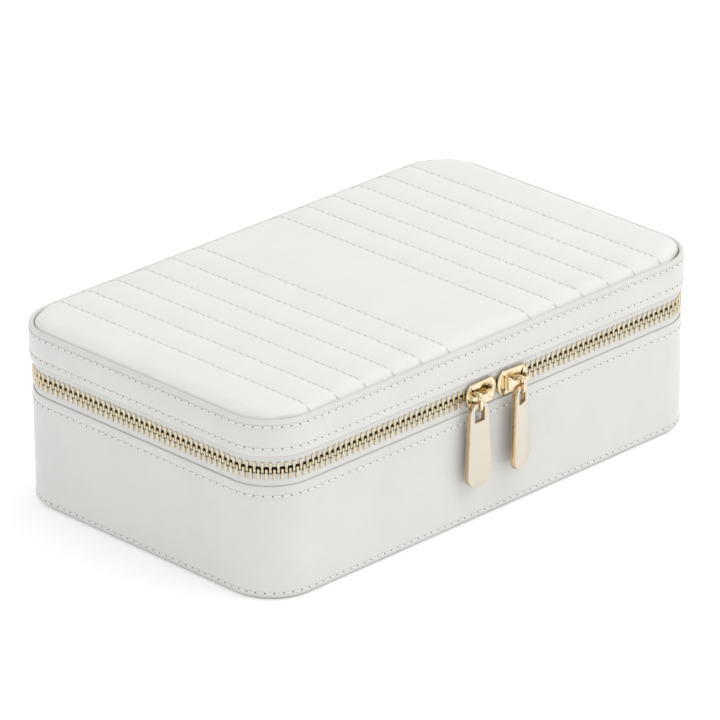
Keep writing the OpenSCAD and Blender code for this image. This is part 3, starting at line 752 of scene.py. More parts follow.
# closed tube: round on top, straight at the sides, with soft ends
def rollMesh(index):
    r = rollLook["radius"] - rollLook["swell"]
    y0 = rollLook["firstY"] - index * rollLook["pitch"]
    zc = rollLook["top"] - rollLook["radius"]
    z0 = rollLook["bottom"] + rollLook["swell"] * 0.5
    section = [(r * math.cos(a), zc + r * math.sin(a)) for a in np.linspace(0, math.pi, 13)]
    section += [(-r, z) for z in np.linspace(zc, z0 + 1.2, 4)[1:]]
    section += [(x, z0) for x in np.linspace(-r + 1.2, r - 1.2, 5)]
    section += [(r, z) for z in np.linspace(z0 + 1.2, zc, 4)[:-1]]
    left, right = 0.4 - insideX, rollLook["length"] - insideX
    stations = [(left + 2.2 * (1 - math.cos(a)), math.sin(a) ** 0.6)
                for a in np.linspace(0.25, math.pi / 2, 5)]
    stations += [(x, 1.0) for x in np.linspace(left + 3.5, right - 3.5, 22)[1:-1]]
    stations += [(left + right - x, s) for x, s in stations[:5][::-1]]
    zm = (zc + r + z0) / 2
    verts = []
    for x, s in stations:
        for a, z in section:
            y = y0 + a * s
            verts.append((cornerLimit(x, y, 0.5 + rollLook["swell"]), y, zm + (z - zm) * s))
    faces, _ = gridFaces(len(stations), len(section), False, True)
    return verts, faces + endCaps(len(stations), len(section))


# lets cloth swell, caps how far each point went and gives the points
# the cloth works at ten times the size, where its stiffness is steadier
def clothPuff(made, cap, pressure, shrink, bending, quality=6, pin=""):
    scale, frames = 10, 20
    mesh = made.data
    mesh.transform(Matrix.Scale(scale, 4))
    start = np.empty(len(mesh.vertices) * 3)
    mesh.vertices.foreach_get("co", start)
    start = start.reshape(-1, 3)
    cloth = made.modifiers.new("Cloth", "CLOTH")
    settings = cloth.settings
    settings.quality, settings.mass = quality, 0.3
    settings.tension_stiffness = settings.compression_stiffness = 15
    settings.bending_stiffness = bending
    settings.use_pressure = True
    settings.uniform_pressure_force = pressure
    settings.shrink_min = shrink
    settings.effector_weights.gravity = 0
    settings.vertex_group_mass = pin
    cloth.point_cache.frame_start, cloth.point_cache.frame_end = 1, frames
    scene = bpy.context.scene
    for index in range(1, frames + 1):
        scene.frame_set(index)
    graph = bpy.context.evaluated_depsgraph_get()
    end = np.empty(len(mesh.vertices) * 3)
    made.evaluated_get(graph).to_mesh().vertices.foreach_get("co", end)
    made.evaluated_get(graph).to_mesh_clear()
    move = np.nan_to_num(end.reshape(-1, 3) - start)
    far = np.linalg.norm(move, axis=1, keepdims=True)
    move *= np.minimum(1.0, scale * cap / np.maximum(far, 1e-9))
    made.modifiers.clear()
    scene.frame_set(1)
    return (start + move) / scale


def ringRolls():
    parts = [rollMesh(i) for i in range(rollLook["count"])]
    verts, faces = joined(parts)
    work = meshObject("rollWork", [Vector(v) * mm for v in verts], faces, [rollVelvet])
    shape = clothPuff(work, rollLook["swell"] * mm * 1.15, pressure=4.0, shrink=-0.05, bending=2.0)
    first = 0
    for i, (verts, faces) in enumerate(parts):
        y0 = rollLook["firstY"] - i * rollLook["pitch"]
        moved = []
        for x, y, z in shape[first:first + len(verts)] / mm:
            wrinkle = noise.noise(Vector((x * 0.22, y * 0.35, z * 0.35 + i * 7)))
            crease = noise.noise(Vector((x * 0.7, y * 0.1, i * 3.1)))
            away = Vector((0, y - y0, z - 36)).normalized() if abs(z - 36) + abs(y - y0) > 0.1 else up
            x, y, z = Vector((x, y, z)) + away * (0.22 * wrinkle + 0.10 * crease)
            y = min(max(y, y0 - rollLook["radius"] - 0.05), y0 + rollLook["radius"] + 0.05)
            z = min(max(z, rollLook["bottom"] + 0.05), rollLook["top"] + 0.25)
            x = cornerLimit(min(x, rollLook["rightLimit"]), y, 0.35)
            moved.append((x * mm, y * mm, z * mm))
        made = meshObject(f"ringRoll{i + 1}", moved, faces, [rollVelvet], sharpAngle=75)
        subdivide(made, 2)
        finishPiece(made, "base", [f"ring_roll_{i + 1}"])
        first += len(verts)
    bpy.data.objects.remove(work)


ringRolls()

bedLook = {"left": -112.8, "right": -38.5, "front": -12.9, "back": 66.7, "clear": 0.4, "fill": 1.0,
           "levels": ((5.35, 0.6), (5.9, 0.0), (16, -0.1), (27.0, 0.0), (27.6, 0.4), (27.85, 1.2))}


# foam block under the rolls, in the same velvet, with soft edges given as (height, inset)
def ringBed():
    left, right, front = bedLook["left"], bedLook["right"], bedLook["front"]
    cx, cy, r = insideRadius - insideX, insideY - insideRadius, insideRadius - bedLook["clear"]
    loop = [(right, front), (right, bedLook["back"])]
    loop += [(cx + r * math.cos(a), cy + r * math.sin(a)) for a in np.linspace(math.pi / 2, math.pi, 9)]
    loop += [(left, front)]
    centre = Vector(np.mean(loop, axis=0))
    verts = []
    for z, inset in bedLook["levels"]:
        for p in loop:
            d = Vector(p) - centre
            x, y = centre + d * (1 - inset / d.length)
            verts.append((x * mm, y * mm, z * mm))
    rows, count = len(bedLook["levels"]), len(loop)
    faces, _ = gridFaces(rows, count, False, True)
    made = addPiece("ringBed", (verts, faces + endCaps(rows, count)), [rollVelvet],
                    "base", "ring_velvet", ["ring_bed"])


ringBed()
print("ring rolls made")

zipLook = {"tail": 10.0, "pitch": 2.84, "tapeOuter": -0.8, "tapeInner": -1.5, "reach": 5.5,
           "cordEdge": 1.85, "cord": 0.5, "tapePuff": 0.4, "toothDepth": 2.4, "toothHead": 0.75,
           "toothWaist": -1.1, "toothFoot": -3.5, "hingeGap": 0.4, "stopLength": 3.0, "stopDepth": 2.5,
           "stopAway": 1.95, "stopEdge": 0.45, "stopGap": 1.6}
tapeMiddle = (zipLook["tapeOuter"] + zipLook["tapeInner"]) / 2
arcLength = math.pi * (case["cornerRadius"] + tapeMiddle) / 2
runHalf = straightX + 2 * arcLength + 2 * straightY + zipLook["tail"]


# place and outward direction on the zip's path, at s from the middle of the front
def zipPlace(s, out=tapeMiddle):
    side = 1 if s >= 0 else -1
    s = abs(s)
    r = case["cornerRadius"]
    turn = math.pi / 2 / arcLength
    sideStart = straightX + arcLength
    backStart = sideStart + 2 * straightY
    tailStart = backStart + arcLength
    if s < straightX:
        place, direction = (s, -straightY - r), (0, -1)
    elif s < sideStart:
        direction = (math.sin((s - straightX) * turn), -math.cos((s - straightX) * turn))
        place = (straightX + r * direction[0], -straightY + r * direction[1])
    elif s < backStart:
        place, direction = (straightX + r, s - sideStart - straightY), (1, 0)
    elif s < tailStart:
        direction = (math.cos((s - backStart) * turn), math.sin((s - backStart) * turn))
        place = (straightX + r * direction[0], straightY + r * direction[1])
    else:
        place, direction = (straightX + tailStart - s, straightY + r), (0, 1)
    x, y = place[0] + direction[0] * out, place[1] + direction[1] * out
    return (side * x, y), (side * direction[0], direction[1])


def zipStations():
    marks = [0.0]
    lengths = (straightX, arcLength, 2 * straightY, arcLength, zipLook["tail"])
    for length, steps in zip(lengths, (16, 18, 17, 18, 3)):
        marks += list(marks[-1] + length * np.arange(1, steps + 1) / steps)
    return [-s for s in marks[:0:-1]] + marks


# woven tape with a cord along the edge that carries the teeth; sign is -1 below the teeth and 1 above
def zipTape(name, sign, body, nodes):
    near = case["zipMiddle"] + sign * zipLook["cordEdge"]
    far = case["zipMiddle"] + sign * (case["lidBottom"] - case["zipMiddle"] + zipLook["reach"])
    outer, inner, puff, cord = (zipLook[key] for key in ("tapeOuter", "tapeInner", "tapePuff", "cord"))
    edge = [(tapeMiddle + (0.35 + cord * 0.5) * math.cos(a), near + sign * cord * math.sin(a))
            for a in np.linspace(0, -math.pi, 7)]
    profile = [(outer, far), (outer, near + sign * 5.0), (outer + 0.7 * puff, near + sign * 4.1),
               (outer + puff, near + sign * 3.0), (outer + puff, near + sign * 1.9),
               (outer + 0.3 * puff, near + sign * 1.2), *edge, (inner - 0.1, near + sign * 1.1),
               (inner, near + sign * 1.6), (inner, far)]
    stations = zipStations()
    verts = []
    for s in stations:
        (x, y), direction = zipPlace(s, 0.0)
        verts += [((x + direction[0] * out) * mm, (y + direction[1] * out) * mm, z * mm)
                  for out, z in profile]
    u, v = np.array(stations) * mm, running(profile, True) * mm
    faces, uvs = gridFaces(len(stations), len(profile), False, True, u, v)
    for cap in endCaps(len(stations), len(profile)):
        faces.append(cap)
        uvs += [(0.0, v[k % len(profile)]) for k in cap]
    addPiece(name, (verts, faces), [tapeWeave], body, "zip_tape", nodes, uvs=uvs)


# one tooth: legs that grip the tape's cord, a waist and a rounded head that reaches past the middle
def toothSource(sign):
    head, waist, foot = zipLook["toothHead"], zipLook["toothWaist"], zipLook["toothFoot"]
    half = [(0.56, foot), (0.7, -3.1), (0.73, -2.0), (0.66, -1.5), (0.46, waist), (0.43, -0.6), (0.57, -0.25),
            (0.6, 0.15), (0.52, 0.5), (0.32, head)]
    outline = half + [(-x, z) for x, z in half[::-1]]
    depth = zipLook["toothDepth"] / 2
    layers = [(-depth, 0.78, 0.12), (-depth + 0.3, 1.0, 0.0), (depth - 0.3, 1.0, 0.0), (depth, 0.78, 0.12)]
    verts = [(x * shrink * mm, -sign * min(max(z, foot + lift), head - lift) * mm, out * mm)
             for out, shrink, lift in layers for x, z in outline]
    faces, _ = gridFaces(len(layers), len(outline), False, True)
    faces += endCaps(len(layers), len(outline))
    made = meshObject("toothSource", verts, faces, [zipGold], sharpAngle=35)
    bpy.context.scene.collection.objects.unlink(made)
    scratch.objects.link(made)
    return made


def zipTeeth(name, sign, phase, body, nodes):
    pitch, middle = zipLook["pitch"], case["zipMiddle"]
    last = runHalf - zipLook["stopLength"] - zipLook["stopGap"]
    most = math.floor((last - phase * pitch) / pitch) + phase
    marks = np.arange(-most, most + 0.5) * pitch
    line = [(*(c * mm for c in zipPlace(s)[0]), middle * mm) for s in np.linspace(marks[0], marks[-1], 1400)]
    tooth = toothSource(sign)
    made = growFrom([line], False, repeatAlong, {
        "Count": len(marks), "Across": (0, 0, 1), "Piece": tooth, "Material": zipGold,
    }, name, body, nodes, sharpAngle=35)
    bpy.data.objects.remove(tooth)
    # the heads get shorter towards the hinge, so that the rows clear each other when the lid swings back
    start, full = case["depth"] / 2 - 8.0, case["depth"] / 2 - 3.0
    waist, head = zipLook["toothWaist"], zipLook["toothHead"]
    for v in made.data.vertices:
        near = min(max((v.co.y / mm - start) / (full - start), 0), 1)
        height = (v.co.z / mm - middle) * sign
        if near > 0 and height > waist:
            keep = 1 - near * (head + zipLook["hingeGap"]) / (head - waist)
            v.co.z = (middle + sign * (waist + (height - waist) * keep)) * mm


# crimped stop at each end of a row
def zipStops(name, sign, body, nodes):
    reach = (zipLook["stopLength"] / 2, zipLook["stopDepth"] / 2, zipLook["stopLength"] / 2)
    parts = []
    for side in (-1, 1):
        (x, y), _ = zipPlace(side * (runHalf - zipLook["stopLength"] / 2))
        centre = (x, y, case["zipMiddle"] + sign * zipLook["stopAway"])
        low, high = ([c + way * r for c, r in zip(centre, reach)] for way in (-1, 1))
        parts.append(roundBox(low, high, zipLook["stopEdge"], 3))
    addPiece(name, joined(parts), [zipGold], body, "zip_metal", nodes)


zipTape("zipTapeLower", -1, "base", ["zip_tape_lower"])
zipTape("zipTapeUpper", 1, "lid", ["zip_tape_upper"])
zipTeeth("zipTeethLower", 1, 0.5, "base", ["zip_teeth_lower"])
zipTeeth("zipTeethUpper", -1, 0.0, "lid", ["zip_teeth_upper"])
zipStops("zipStopsLower", -1, "base", ["zip_stops_lower"])
zipStops("zipStopsUpper", 1, "lid", ["zip_stops_upper"])

hingeLook = {"half": 87.0, "overlap": 5.3, "edge": 0.3, "bulge": 0.35, "ripple": 0.12, "foldHalf": 5.0}


# one strip of leather across the back, drawn flat with a soft bulge along the middle of the zip, where the
# real strip folds
def hingeLeather():
    y0, fold, low, high = case["depth"] / 2, case["zipMiddle"], case["baseTop"], case["lidBottom"]
    overlap, edge = hingeLook["overlap"], hingeLook["edge"]
    xs = np.linspace(-hingeLook["half"], hingeLook["half"], 60)
    zs = np.concatenate([np.linspace(low - overlap, low - edge, 4), np.linspace(low + edge, high - edge, 15),
                         np.linspace(high + edge, high + overlap, 4)])
    front, back = [], []
    for x in xs:
        for z in zs:
            bulge = 0.0
            if low <= z <= high:
                bulge = hingeLook["bulge"] * math.exp(-((z - fold) / 3.2) ** 2)
                bulge += hingeLook["ripple"] * math.sin((z - fold) * 2.1) * math.exp(-((z - fold) / 4.5) ** 2)
                bulge += hingeLook["ripple"] * noise.noise(Vector((x * 0.05, z * 0.9, 3)))
            front.append((x * mm, (y0 + zipLook["tapeOuter"] + bulge) * mm, z * mm))
            back.append((x * mm, (y0 + zipLook["tapeInner"] + bulge) * mm, z * mm))
    outer, _ = gridFaces(len(xs), len(zs), False, False)
    count = len(front)
    faces = outer + [tuple(count + k for k in reversed(f)) for f in outer]
    rim = gridRim(len(xs), len(zs))
    faces += [(a, b, count + b, count + a) for a, b in zip(rim, rim[1:] + rim[:1])]
    made = meshObject("hingeLeather", front + back, faces, [leather])
    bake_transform(made)
    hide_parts("hinge_strip_lower", "hinge_strip_upper")


hingeLeather()
print("zip made")

lidLook = {"stitchLow": 62.5, "stitchHigh": 71.3, "channel": 0.16, "bow": 0.12, "cord": 0.98,
           "cordInset": 1.0, "cordUp": 0.78, "cordWobble": 0.05}


def lidWrap():
    low, high, top, lip = lidLook["stitchLow"], lidLook["stitchHigh"], case["lidTop"], case["lidLip"]
    dip, bow, z0 = lip - lidLook["channel"], lidLook["bow"], case["lidBottom"]
    profile = rounded([(-0.75, z0 + 0.8), (-0.75, z0), (lip, z0), (lip + 0.02, z0 + 1.2)],
                      [0, 0.25, 0.42, 0], 4)
    profile += [(lip + 0.02, low - 0.9), (dip, low - 0.22), (dip, low + 0.22), (lip + 0.02, low + 0.9)]
    profile += [(lip + bow * math.sin(t * math.pi), low + 1.2 + (high - low - 2.2) * t)
                for t in np.linspace(0.15, 0.85, 6)]
    profile += [(lip + 0.01, high - 0.7), (dip, high - 0.22), (dip, high + 0.25), (lip - 0.1, high + 0.55),
                (lip - 0.35, top + 0.05), (0.1, top), (0.0, top), (0.0, z0 + 0.8)]
    sweepRim("lidWrap", profile, lidLeather, "lid", "leather", ["lid_cover"])


# cord covered in leather along the lid's top edge
def lidPiping():
    r, out, z = lidLook["cord"], case["lidLip"] - lidLook["cordInset"], case["lidTop"] + lidLook["cordUp"]
    profile = [(out + r * math.cos(a), z + r * math.sin(a)) for a in np.linspace(0, 2 * math.pi, 17)[:-1]]
    sweepRim("lidPiping", profile, lidLeather, "lid", "leather", ["lid_piping"],
             lambda s: lidLook["cordWobble"] * noise.noise(Vector((s * 0.3, 0, 0))))


lidWrap()
lidPiping()
rimStitches("lidStitches", case["lidLip"] - lidLook["channel"],
            (lidLook["stitchLow"], lidLook["stitchHigh"]), "lid")

quilt = {"out": -1.4, "crown": 76.1, "seam": 75.65, "side": 73.2, "foot": 72.25, "edge": 7.0, "pitch": 14.6,
         "band": 43.8, "fill": 0.55, "seamDip": 0.05, "swell": 0.2, "steps": 26}
quiltStitch = {"pitch": 3.6, "length": 2.3, "thickness": 0.33, "rise": 0.3, "hole": 0.2}
padHalf = case["length"] / 2 + quilt["out"]
padRadius = case["cornerRadius"] + quilt["out"]
seamPlaces = [quilt["band"] / 2 + k * quilt["pitch"] for k in range(6)]
seamPlaces = [-x for x in seamPlaces[::-1]] + seamPlaces


# half the pad's depth at x
def padDepth(x):
    over = max(abs(x) - straightX, 0)
    return straightY + math.sqrt(max(padRadius ** 2 - over ** 2, 0))


def nearestSeam(x):
    return min(abs(x - s) for s in seamPlaces)


# height of the quilted top: rounded at the rim, with a shallow puff between seams
def padHeight(x, v):
    ends = min(max((padHalf - abs(x)) / quilt["edge"], 0), 1)
    front = min(max(padDepth(x) * (1 - abs(v)) / quilt["edge"], 0), 1)
    shape = math.sqrt(1 - (1 - ends) ** 2) * math.sqrt(1 - (1 - front) ** 2)
    d = nearestSeam(x)
    full = (quilt["band"] if abs(x) < quilt["band"] / 2 else quilt["pitch"]) / 2
    rise = max(0.0, 1 - (1 - min(d / full, 1)) ** 2) ** 0.85
    top = quilt["seam"] + (quilt["crown"] - quilt["seam"]) * (0.25 + 0.75 * rise)
    top -= quilt["seamDip"] * math.exp(-(d / 0.7) ** 2)
    return quilt["side"] + (top - quilt["side"]) * shape


# where the mesh is cut across: close together at the seams and towards the round ends
def quiltColumns():
    marks = {round(s + side * away, 3) for s in seamPlaces for side in (-1, 1)
             for away in (0.0, 0.45, 1.1, 2.2, 3.8, 5.5)}
    marks.update(round(s + quilt["pitch"] / 2, 3) for s in seamPlaces[:5] + seamPlaces[6:11])
    marks.update(np.round(np.linspace(-15, 15, 11), 3))
    lastSeam = seamPlaces[-1]
    for a in np.linspace(0.5, 1, 10):
        x = lastSeam + (padHalf - lastSeam) * math.sin(a * math.pi / 2)
        marks.update((round(x, 3), round(-x, 3)))
    kept = []
    for m in sorted(m for m in marks if abs(m) <= padHalf):
        if not kept or m - kept[-1] > 0.3:
            kept.append(m)
    kept[-1] = padHalf
    kept[0] = -padHalf
    return kept


# the points that the thread and the rim hold while the cloth swells
def pinSewn(made, xs, cols, count):
    pins = made.vertex_groups.new(name="sewn")
    for i, x in enumerate(xs):
        for j in range(cols):
            rim = min(i, len(xs) - 1 - i, j, cols - 1 - j)
            hold = 1.0 if rim == 0 or nearestSeam(x) < 0.05 else 0.5 if rim <= 2 else 0.0
            if hold:
                pins.add([i * cols + j], hold, "REPLACE")
    pins.add(list(range(count, len(made.data.vertices))), 1.0, "REPLACE")
    return pins.name


def quiltedTop():
    xs = quiltColumns()
    steps = [j / quilt["steps"] for j in range(-quilt["steps"], quilt["steps"] + 1)]
    vs = [math.copysign(1 - (1 - abs(t)) ** 1.35, t) if t else 0.0 for t in steps]
    rows, cols = len(xs), len(vs)
    count = rows * cols
    verts = [(x * mm, v * padDepth(x) * mm, padHeight(x, v) * mm) for x in xs for v in vs]
    faces, _ = gridFaces(rows, cols, False, False)
    above = gridRim(rows, cols)
    for drop in (quilt["foot"] + 0.3, quilt["foot"]):
        below = [len(verts) + k for k in range(len(above))]
        verts += [(verts[k][0], verts[k][1], drop * mm) for k in above]
        faces += [(a, b, d, c) for a, b, c, d in zip(above, above[1:] + above[:1],
                                                     below, below[1:] + below[:1])]
        above = below
    made = meshObject("quiltedTop", verts, faces, [quiltLeather], sharpAngle=80)
    pins = pinSewn(made, xs, cols, count)
    shape = clothPuff(made, quilt["swell"] * mm, pressure=1.0, shrink=-0.005, bending=4.0,
                      quality=5, pin=pins)
    shape[:, 2] = np.minimum(shape[:, 2], (quilt["crown"] + 0.6) * mm)
    made.data.vertices.foreach_set("co", shape.ravel())
    made.vertex_groups.clear()
    # puckers where the thread pulls the leather in, and a slow unevenness
    for v in made.data.vertices[:count]:
        x, y = v.co.x / mm, v.co.y / mm
        pull = math.exp(-(nearestSeam(x) / 2.6) ** 2)
        v.co.z += mm * pull * 0.05 * noise.noise(Vector((x * 0.2, y * 0.45, 5)))
        v.co.z += mm * 0.07 * noise.noise(Vector((x * 0.04, y * 0.05, 9)))
    subdivide(made, 1)
    closing = bmesh.new()
    closing.from_mesh(made.data)
    bmesh.ops.holes_fill(closing, edges=[e for e in closing.edges if e.is_boundary], sides=0)
    bmesh.ops.recalc_face_normals(closing, faces=closing.faces)
    closing.to_mesh(made.data)
    closing.free()
    made.data.set_sharp_from_angle(angle=math.radians(80))
    finishPiece(made, "lid", ["quilted_top", "top_foam"])
    return made


# rows of stitches that follow the seams over the swollen leather
def quiltStitches(top):
    surface = BVHTree.FromObject(top, bpy.context.evaluated_depsgraph_get())
    lines = []
    for x in seamPlaces:
        reach = padDepth(x) - 1.2
        line = []
        for y in np.linspace(-reach, reach, 160):
            hit = surface.ray_cast(Vector((x * mm, y * mm, 0.1)), -up)[0]
            line.append((x * mm, y * mm, hit.z + 0.02 * mm))
        lines.append(line)
    growStitches("quiltStitches", lines, False, quiltStitch, (-1, 0, 0), quiltHole, "lid")


quiltStitches(quiltedTop())


def lidLinings():
    inner, outer, lip, z0 = case["liningInner"], case["boardInner"], liningLook["lipOut"], case["lidBottom"]
    step, top = z0 + liningLook["lip"], case["lidInsideZ"] + liningLook["overlap"]
    profile = rounded([(inner, z0), (lip, z0), (lip, step), (outer, step), (outer, top), (inner, top)],
                      [0.8, 0.3, 0.1, 0, 0, 0], 3)
    sweepRim("lidWallVelvet", profile, velvet, "lid", "velvet", ["lid_wall_lining"])
    inset, edge, z1 = liningLook["lidTopInset"], liningLook["lidTopEdge"], case["lidInsideZ"]
    caseSlab("lidTopVelvet", inset, z1, z1 + liningLook["thick"], edge, velvet, "lid", "velvet",
             ["lid_top_lining"])


lidLinings()
print("lid made")

mirrorLook = {"x": 56.0, "halfX": 45.0, "halfY": 47.0, "round": 6.0, "thick": 2.0, "edge": 0.5, "clear": 0.1}
frameLook = {"wide": 7.0, "lap": 1.5, "inner": 2.9, "crest": 3.2, "outer": 2.6, "side": 1.4,
             "stitches": ((4.6, 2.86), (0.2, 3.03)), "pitch": 3.15, "length": 2.2, "thickness": 0.25}
laidOn = 0.02  # what glued pieces stay off the lid's lining, so that no two faces share a place


def mirrorGlass():
    look, z1 = mirrorLook, case["lidInsideZ"]
    halfX, halfY, radius = (look[key] - look["clear"] for key in ("halfX", "halfY", "round"))
    shape = slab((look["x"], 0), halfX, halfY, radius, z1 - look["thick"], z1 - laidOn, look["edge"])
    addPiece("mirrorGlass", shape, [silver], "lid", "mirror", ["mirror_glass"])


# padded leather frame: a soft profile taken round the mirror, with two rows of stitches
def mirrorFrame():
    look, z1 = frameLook, case["lidInsideZ"]
    wide, lap, glass = look["wide"], look["lap"], z1 - mirrorLook["thick"]
    section = rounded([(wide, z1), (0.0, z1), (0.0, glass), (-lap, glass), (-lap, z1 - look["inner"]),
                       (2.5, z1 - look["crest"]), (wide - 1.0, z1 - look["outer"]),
                       (wide, z1 - look["side"])],
                      [0, 0, 0, 0.1, 0.4, 1.2, 1.2, 0.6], 4)
    places, outs = roundedLoop(mirrorLook["halfX"], mirrorLook["halfY"], mirrorLook["round"])

    def at(index, out, z):
        (x, y), (a, b) = places[index], outs[index]
        return (mirrorLook["x"] + x + a * out) * mm, (y + b * out) * mm, z * mm

    turns = range(len(places))
    verts = [at(k, out, z) for k in turns for out, z in section]
    faces, _ = gridFaces(len(places), len(section), True, True)
    addPiece("mirrorFrame", (verts, faces), [leather], "lid", "leather", ["mirror_frame"])
    lines = [[at(k, out, z1 - drop) for k in reversed(turns)] for out, drop in look["stitches"]]
    growFrom(lines, True, levelStitches, {
        "Pitch": look["pitch"] * mm, "Length": look["length"] * mm, "Thickness": look["thickness"] * mm,
        "Material": thread,
    }, "mirrorFrameStitches", "lid")


mirrorGlass()
mirrorFrame()

pegLook = {"x": -56.0, "y": -53.2, "count": 5, "pitch": 17.0, "barHalf": 5.0, "barRound": 3.0,
           "barThick": 1.6, "barEdge": 0.5, "flange": 2.1, "stem": 1.15, "head": 2.5, "length": 5.6,
           "turns": 20}


def pegBar():
    look, z1 = pegLook, case["lidInsideZ"]
    half = look["pitch"] * look["count"] / 2
    shape = slab((look["x"], look["y"]), half, look["barHalf"], look["barRound"], z1 - look["barThick"],
                 z1 - laidOn, look["barEdge"])
    addPiece("pegBar", shape, [leather], "lid", "leather", ["peg_bar"])


# turned pegs: a flange on the bar, a stem and a mushroom head
def necklacePegs():
    look, turns = pegLook, pegLook["turns"]
    top = case["lidInsideZ"] - look["barThick"]
    end, flange, stem, head = top - look["length"], look["flange"], look["stem"], look["head"]
    outline = [(flange, top + 0.2), (flange, top - 0.3), (stem + 0.2, top - 0.6), (stem, top - 1.2),
               (stem, end + 2.0), (stem + 0.35, end + 1.4), (head - 0.2, end + 1.15), (head, end + 0.8),
               (head - 0.05, end + 0.4), (head - 0.6, end + 0.1), (0.9, end)]
    rows, parts = len(outline), []
    for i in range(look["count"]):
        x0 = look["x"] + (i - look["count"] // 2) * look["pitch"]
        verts = [(x0 * mm, look["y"] * mm, (top + 0.2) * mm)]
        for r, z in outline:
            verts += [((x0 + r * math.cos(a)) * mm, (look["y"] + r * math.sin(a)) * mm, z * mm)
                      for a in (2 * math.pi * k / turns for k in range(turns))]
        verts.append((x0 * mm, look["y"] * mm, end * mm))
        ring, _ = gridFaces(rows, turns, False, True)
        faces = [(0, 1 + (k + 1) % turns, 1 + k) for k in range(turns)]
        faces += [tuple(1 + k for k in f) for f in ring]
        last, foot = len(verts) - 1, 1 + (rows - 1) * turns
        faces += [(last, foot + k, foot + (k + 1) % turns) for k in range(turns)]
        parts.append((verts, faces))
    addPiece("necklacePegs", joined(parts), [gold], "lid", "gold", ["necklace_pegs"], sharpAngle=45)


pegBar()
necklacePegs()

pocketLook = {"left": -104.0, "right": -8.0, "mouth": 0.2, "back": 60.2, "seamX": 0.5, "seamY": 0.6,
              "drop": 6.3, "cloth": 0.7, "band": 0.6, "bandDeep": 0.115, "folds": 19, "fullness": 1.18,
              "mapWidth": 113.0, "columns": 220, "clothRows": 40, "bandRows": 16}


# how far the cloth hangs from the lid at u across and v from mouth to back
def pocketDrop(u, v):
    side = math.sin(math.pi * min(max(u, 0), 1)) ** 0.38
    back = math.sqrt(max(0.0, 1 - max(0.0, (v - 0.12) / 0.88) ** 2.2))
    fold = math.sin(2 * math.pi * pocketLook["folds"] * u + 2.4 * noise.noise(Vector((u * 9, 0, 1))))
    fold *= 0.55 * math.exp(-v * 2.6) * (1 if v > 0.11 else 0.75)
    sag = 0.5 * noise.noise(Vector((u * 4, v * 3, 2)))
    return max(0.5, (pocketLook["drop"] - 0.75 + fold + sag * v) * side * back)


# cloth over a grid of (u, row) places, with the cloth's own area
def clothSheet(name, rows, place, material, thickness):
    verts, uvs, marks = [], [], []
    columns = pocketLook["columns"]
    for i in range(columns + 1):
        line = [Vector(place(i / columns, j)) for j in range(rows + 1)]
        verts += [point * mm for point in line]
        marks += [(i / columns * pocketLook["mapWidth"] * mm, along * mm) for along in running(line, False)]
    faces, _ = gridFaces(columns + 1, rows + 1, False, False)
    for f in faces:
        uvs += [marks[k] for k in f]
    made = meshObject(name, verts, faces, [material], uvs, sharpAngle=80, recalc=False)
    area = sum(p.area for p in made.data.polygons)
    solid = made.modifiers.new("Solidify", "SOLIDIFY")
    solid.thickness, solid.offset = thickness * mm, 0.0
    applyModifiers(made)
    return made, area


# a gathered pouch, and an elastic band folded over its mouth
def pocketAndBand():
    look, z1 = pocketLook, case["lidInsideZ"]
    wide = look["right"] - look["left"] - 2 * look["seamX"]
    deep = look["back"] - look["mouth"] - 2 * look["seamY"]

    def at(u, v, lift):
        x = look["left"] + look["seamX"] + wide * u
        y = look["mouth"] + look["seamY"] + deep * v
        return x, y, z1 - max(pocketDrop(u, v), 0.9) + lift

    def pouchPlace(u, j):
        v = 0.02 + 0.98 * j / look["clothRows"]
        if v > 0.999 or u < 0.0005 or u > 0.9995:
            x, y, _ = at(u, v, 0)
            return x, y, z1 - 0.4
        return at(u, v, 0.35)

    def bandPlace(u, j):
        if j <= 6:
            return at(u, look["bandDeep"] * (1 - j / 6), -0.42)
        if j < 10:
            a = math.pi * (j - 6) / 4
            x, y, z = at(u, 0.0, 0.0)
            return x, y - 0.3 * math.sin(a), z + 0.35 - 0.77 * math.cos(a)
        return at(u, look["bandDeep"] * (j - 10) / 6, 1.12)

    pouch, area = clothSheet("pocketCloth", look["clothRows"], pouchPlace, pocketSuede, look["cloth"])
    finishPiece(pouch, "lid", ["pocket"])
    band, area = clothSheet("pocketBand", look["bandRows"], bandPlace, elastic, look["band"])
    finishPiece(band, "lid", ["pocket_band"])


pocketAndBand()
print("lid interior made")

# boxes are (x from, x to, out from, out to, z from, z to, edge): the web between the plates, then the flanges
sliderLook = {"length": 16.0, "nose": 10.4, "tail": 9.2, "noseRound": 6.4, "tailRound": 7.4, "front": 1.25,
              "back": 0.35, "innerFront": -2.65, "innerBack": -3.55, "edge": 0.45, "innerEdge": 0.4,
              "boxes": ((-5.0, -1.0, -3.45, 1.0, -0.2, 0.2, 0.08),
                        (-14.5, -2.5, -0.55, 1.15, -4.55, -3.75, 0.2),
                        (-14.5, -2.5, -3.5, -1.75, -4.55, -3.75, 0.2))}
bridgeLook = {"start": -3.2, "end": -15.05, "inset": 0.7, "bend": 1.9, "halfThick": 0.6, "halfTall": 0.9,
              "edge": 0.35, "crown": 3.0, "crownLength": 4.2, "foot": 0.7, "lean": 0.25}
linkLook = {"radius": 1.9, "wire": 0.6, "straight": 2.8, "pivotOut": 3.95}
pullLook = {"top": 51.8, "length": 35.0, "topWidth": 9.4, "endWidth": 13.4, "thick": 2.2, "window": 5.2,
            "windowRound": 0.3, "bar": 2.6, "bevel": 0.32, "topRound": 4.0, "endRound": 5.4}


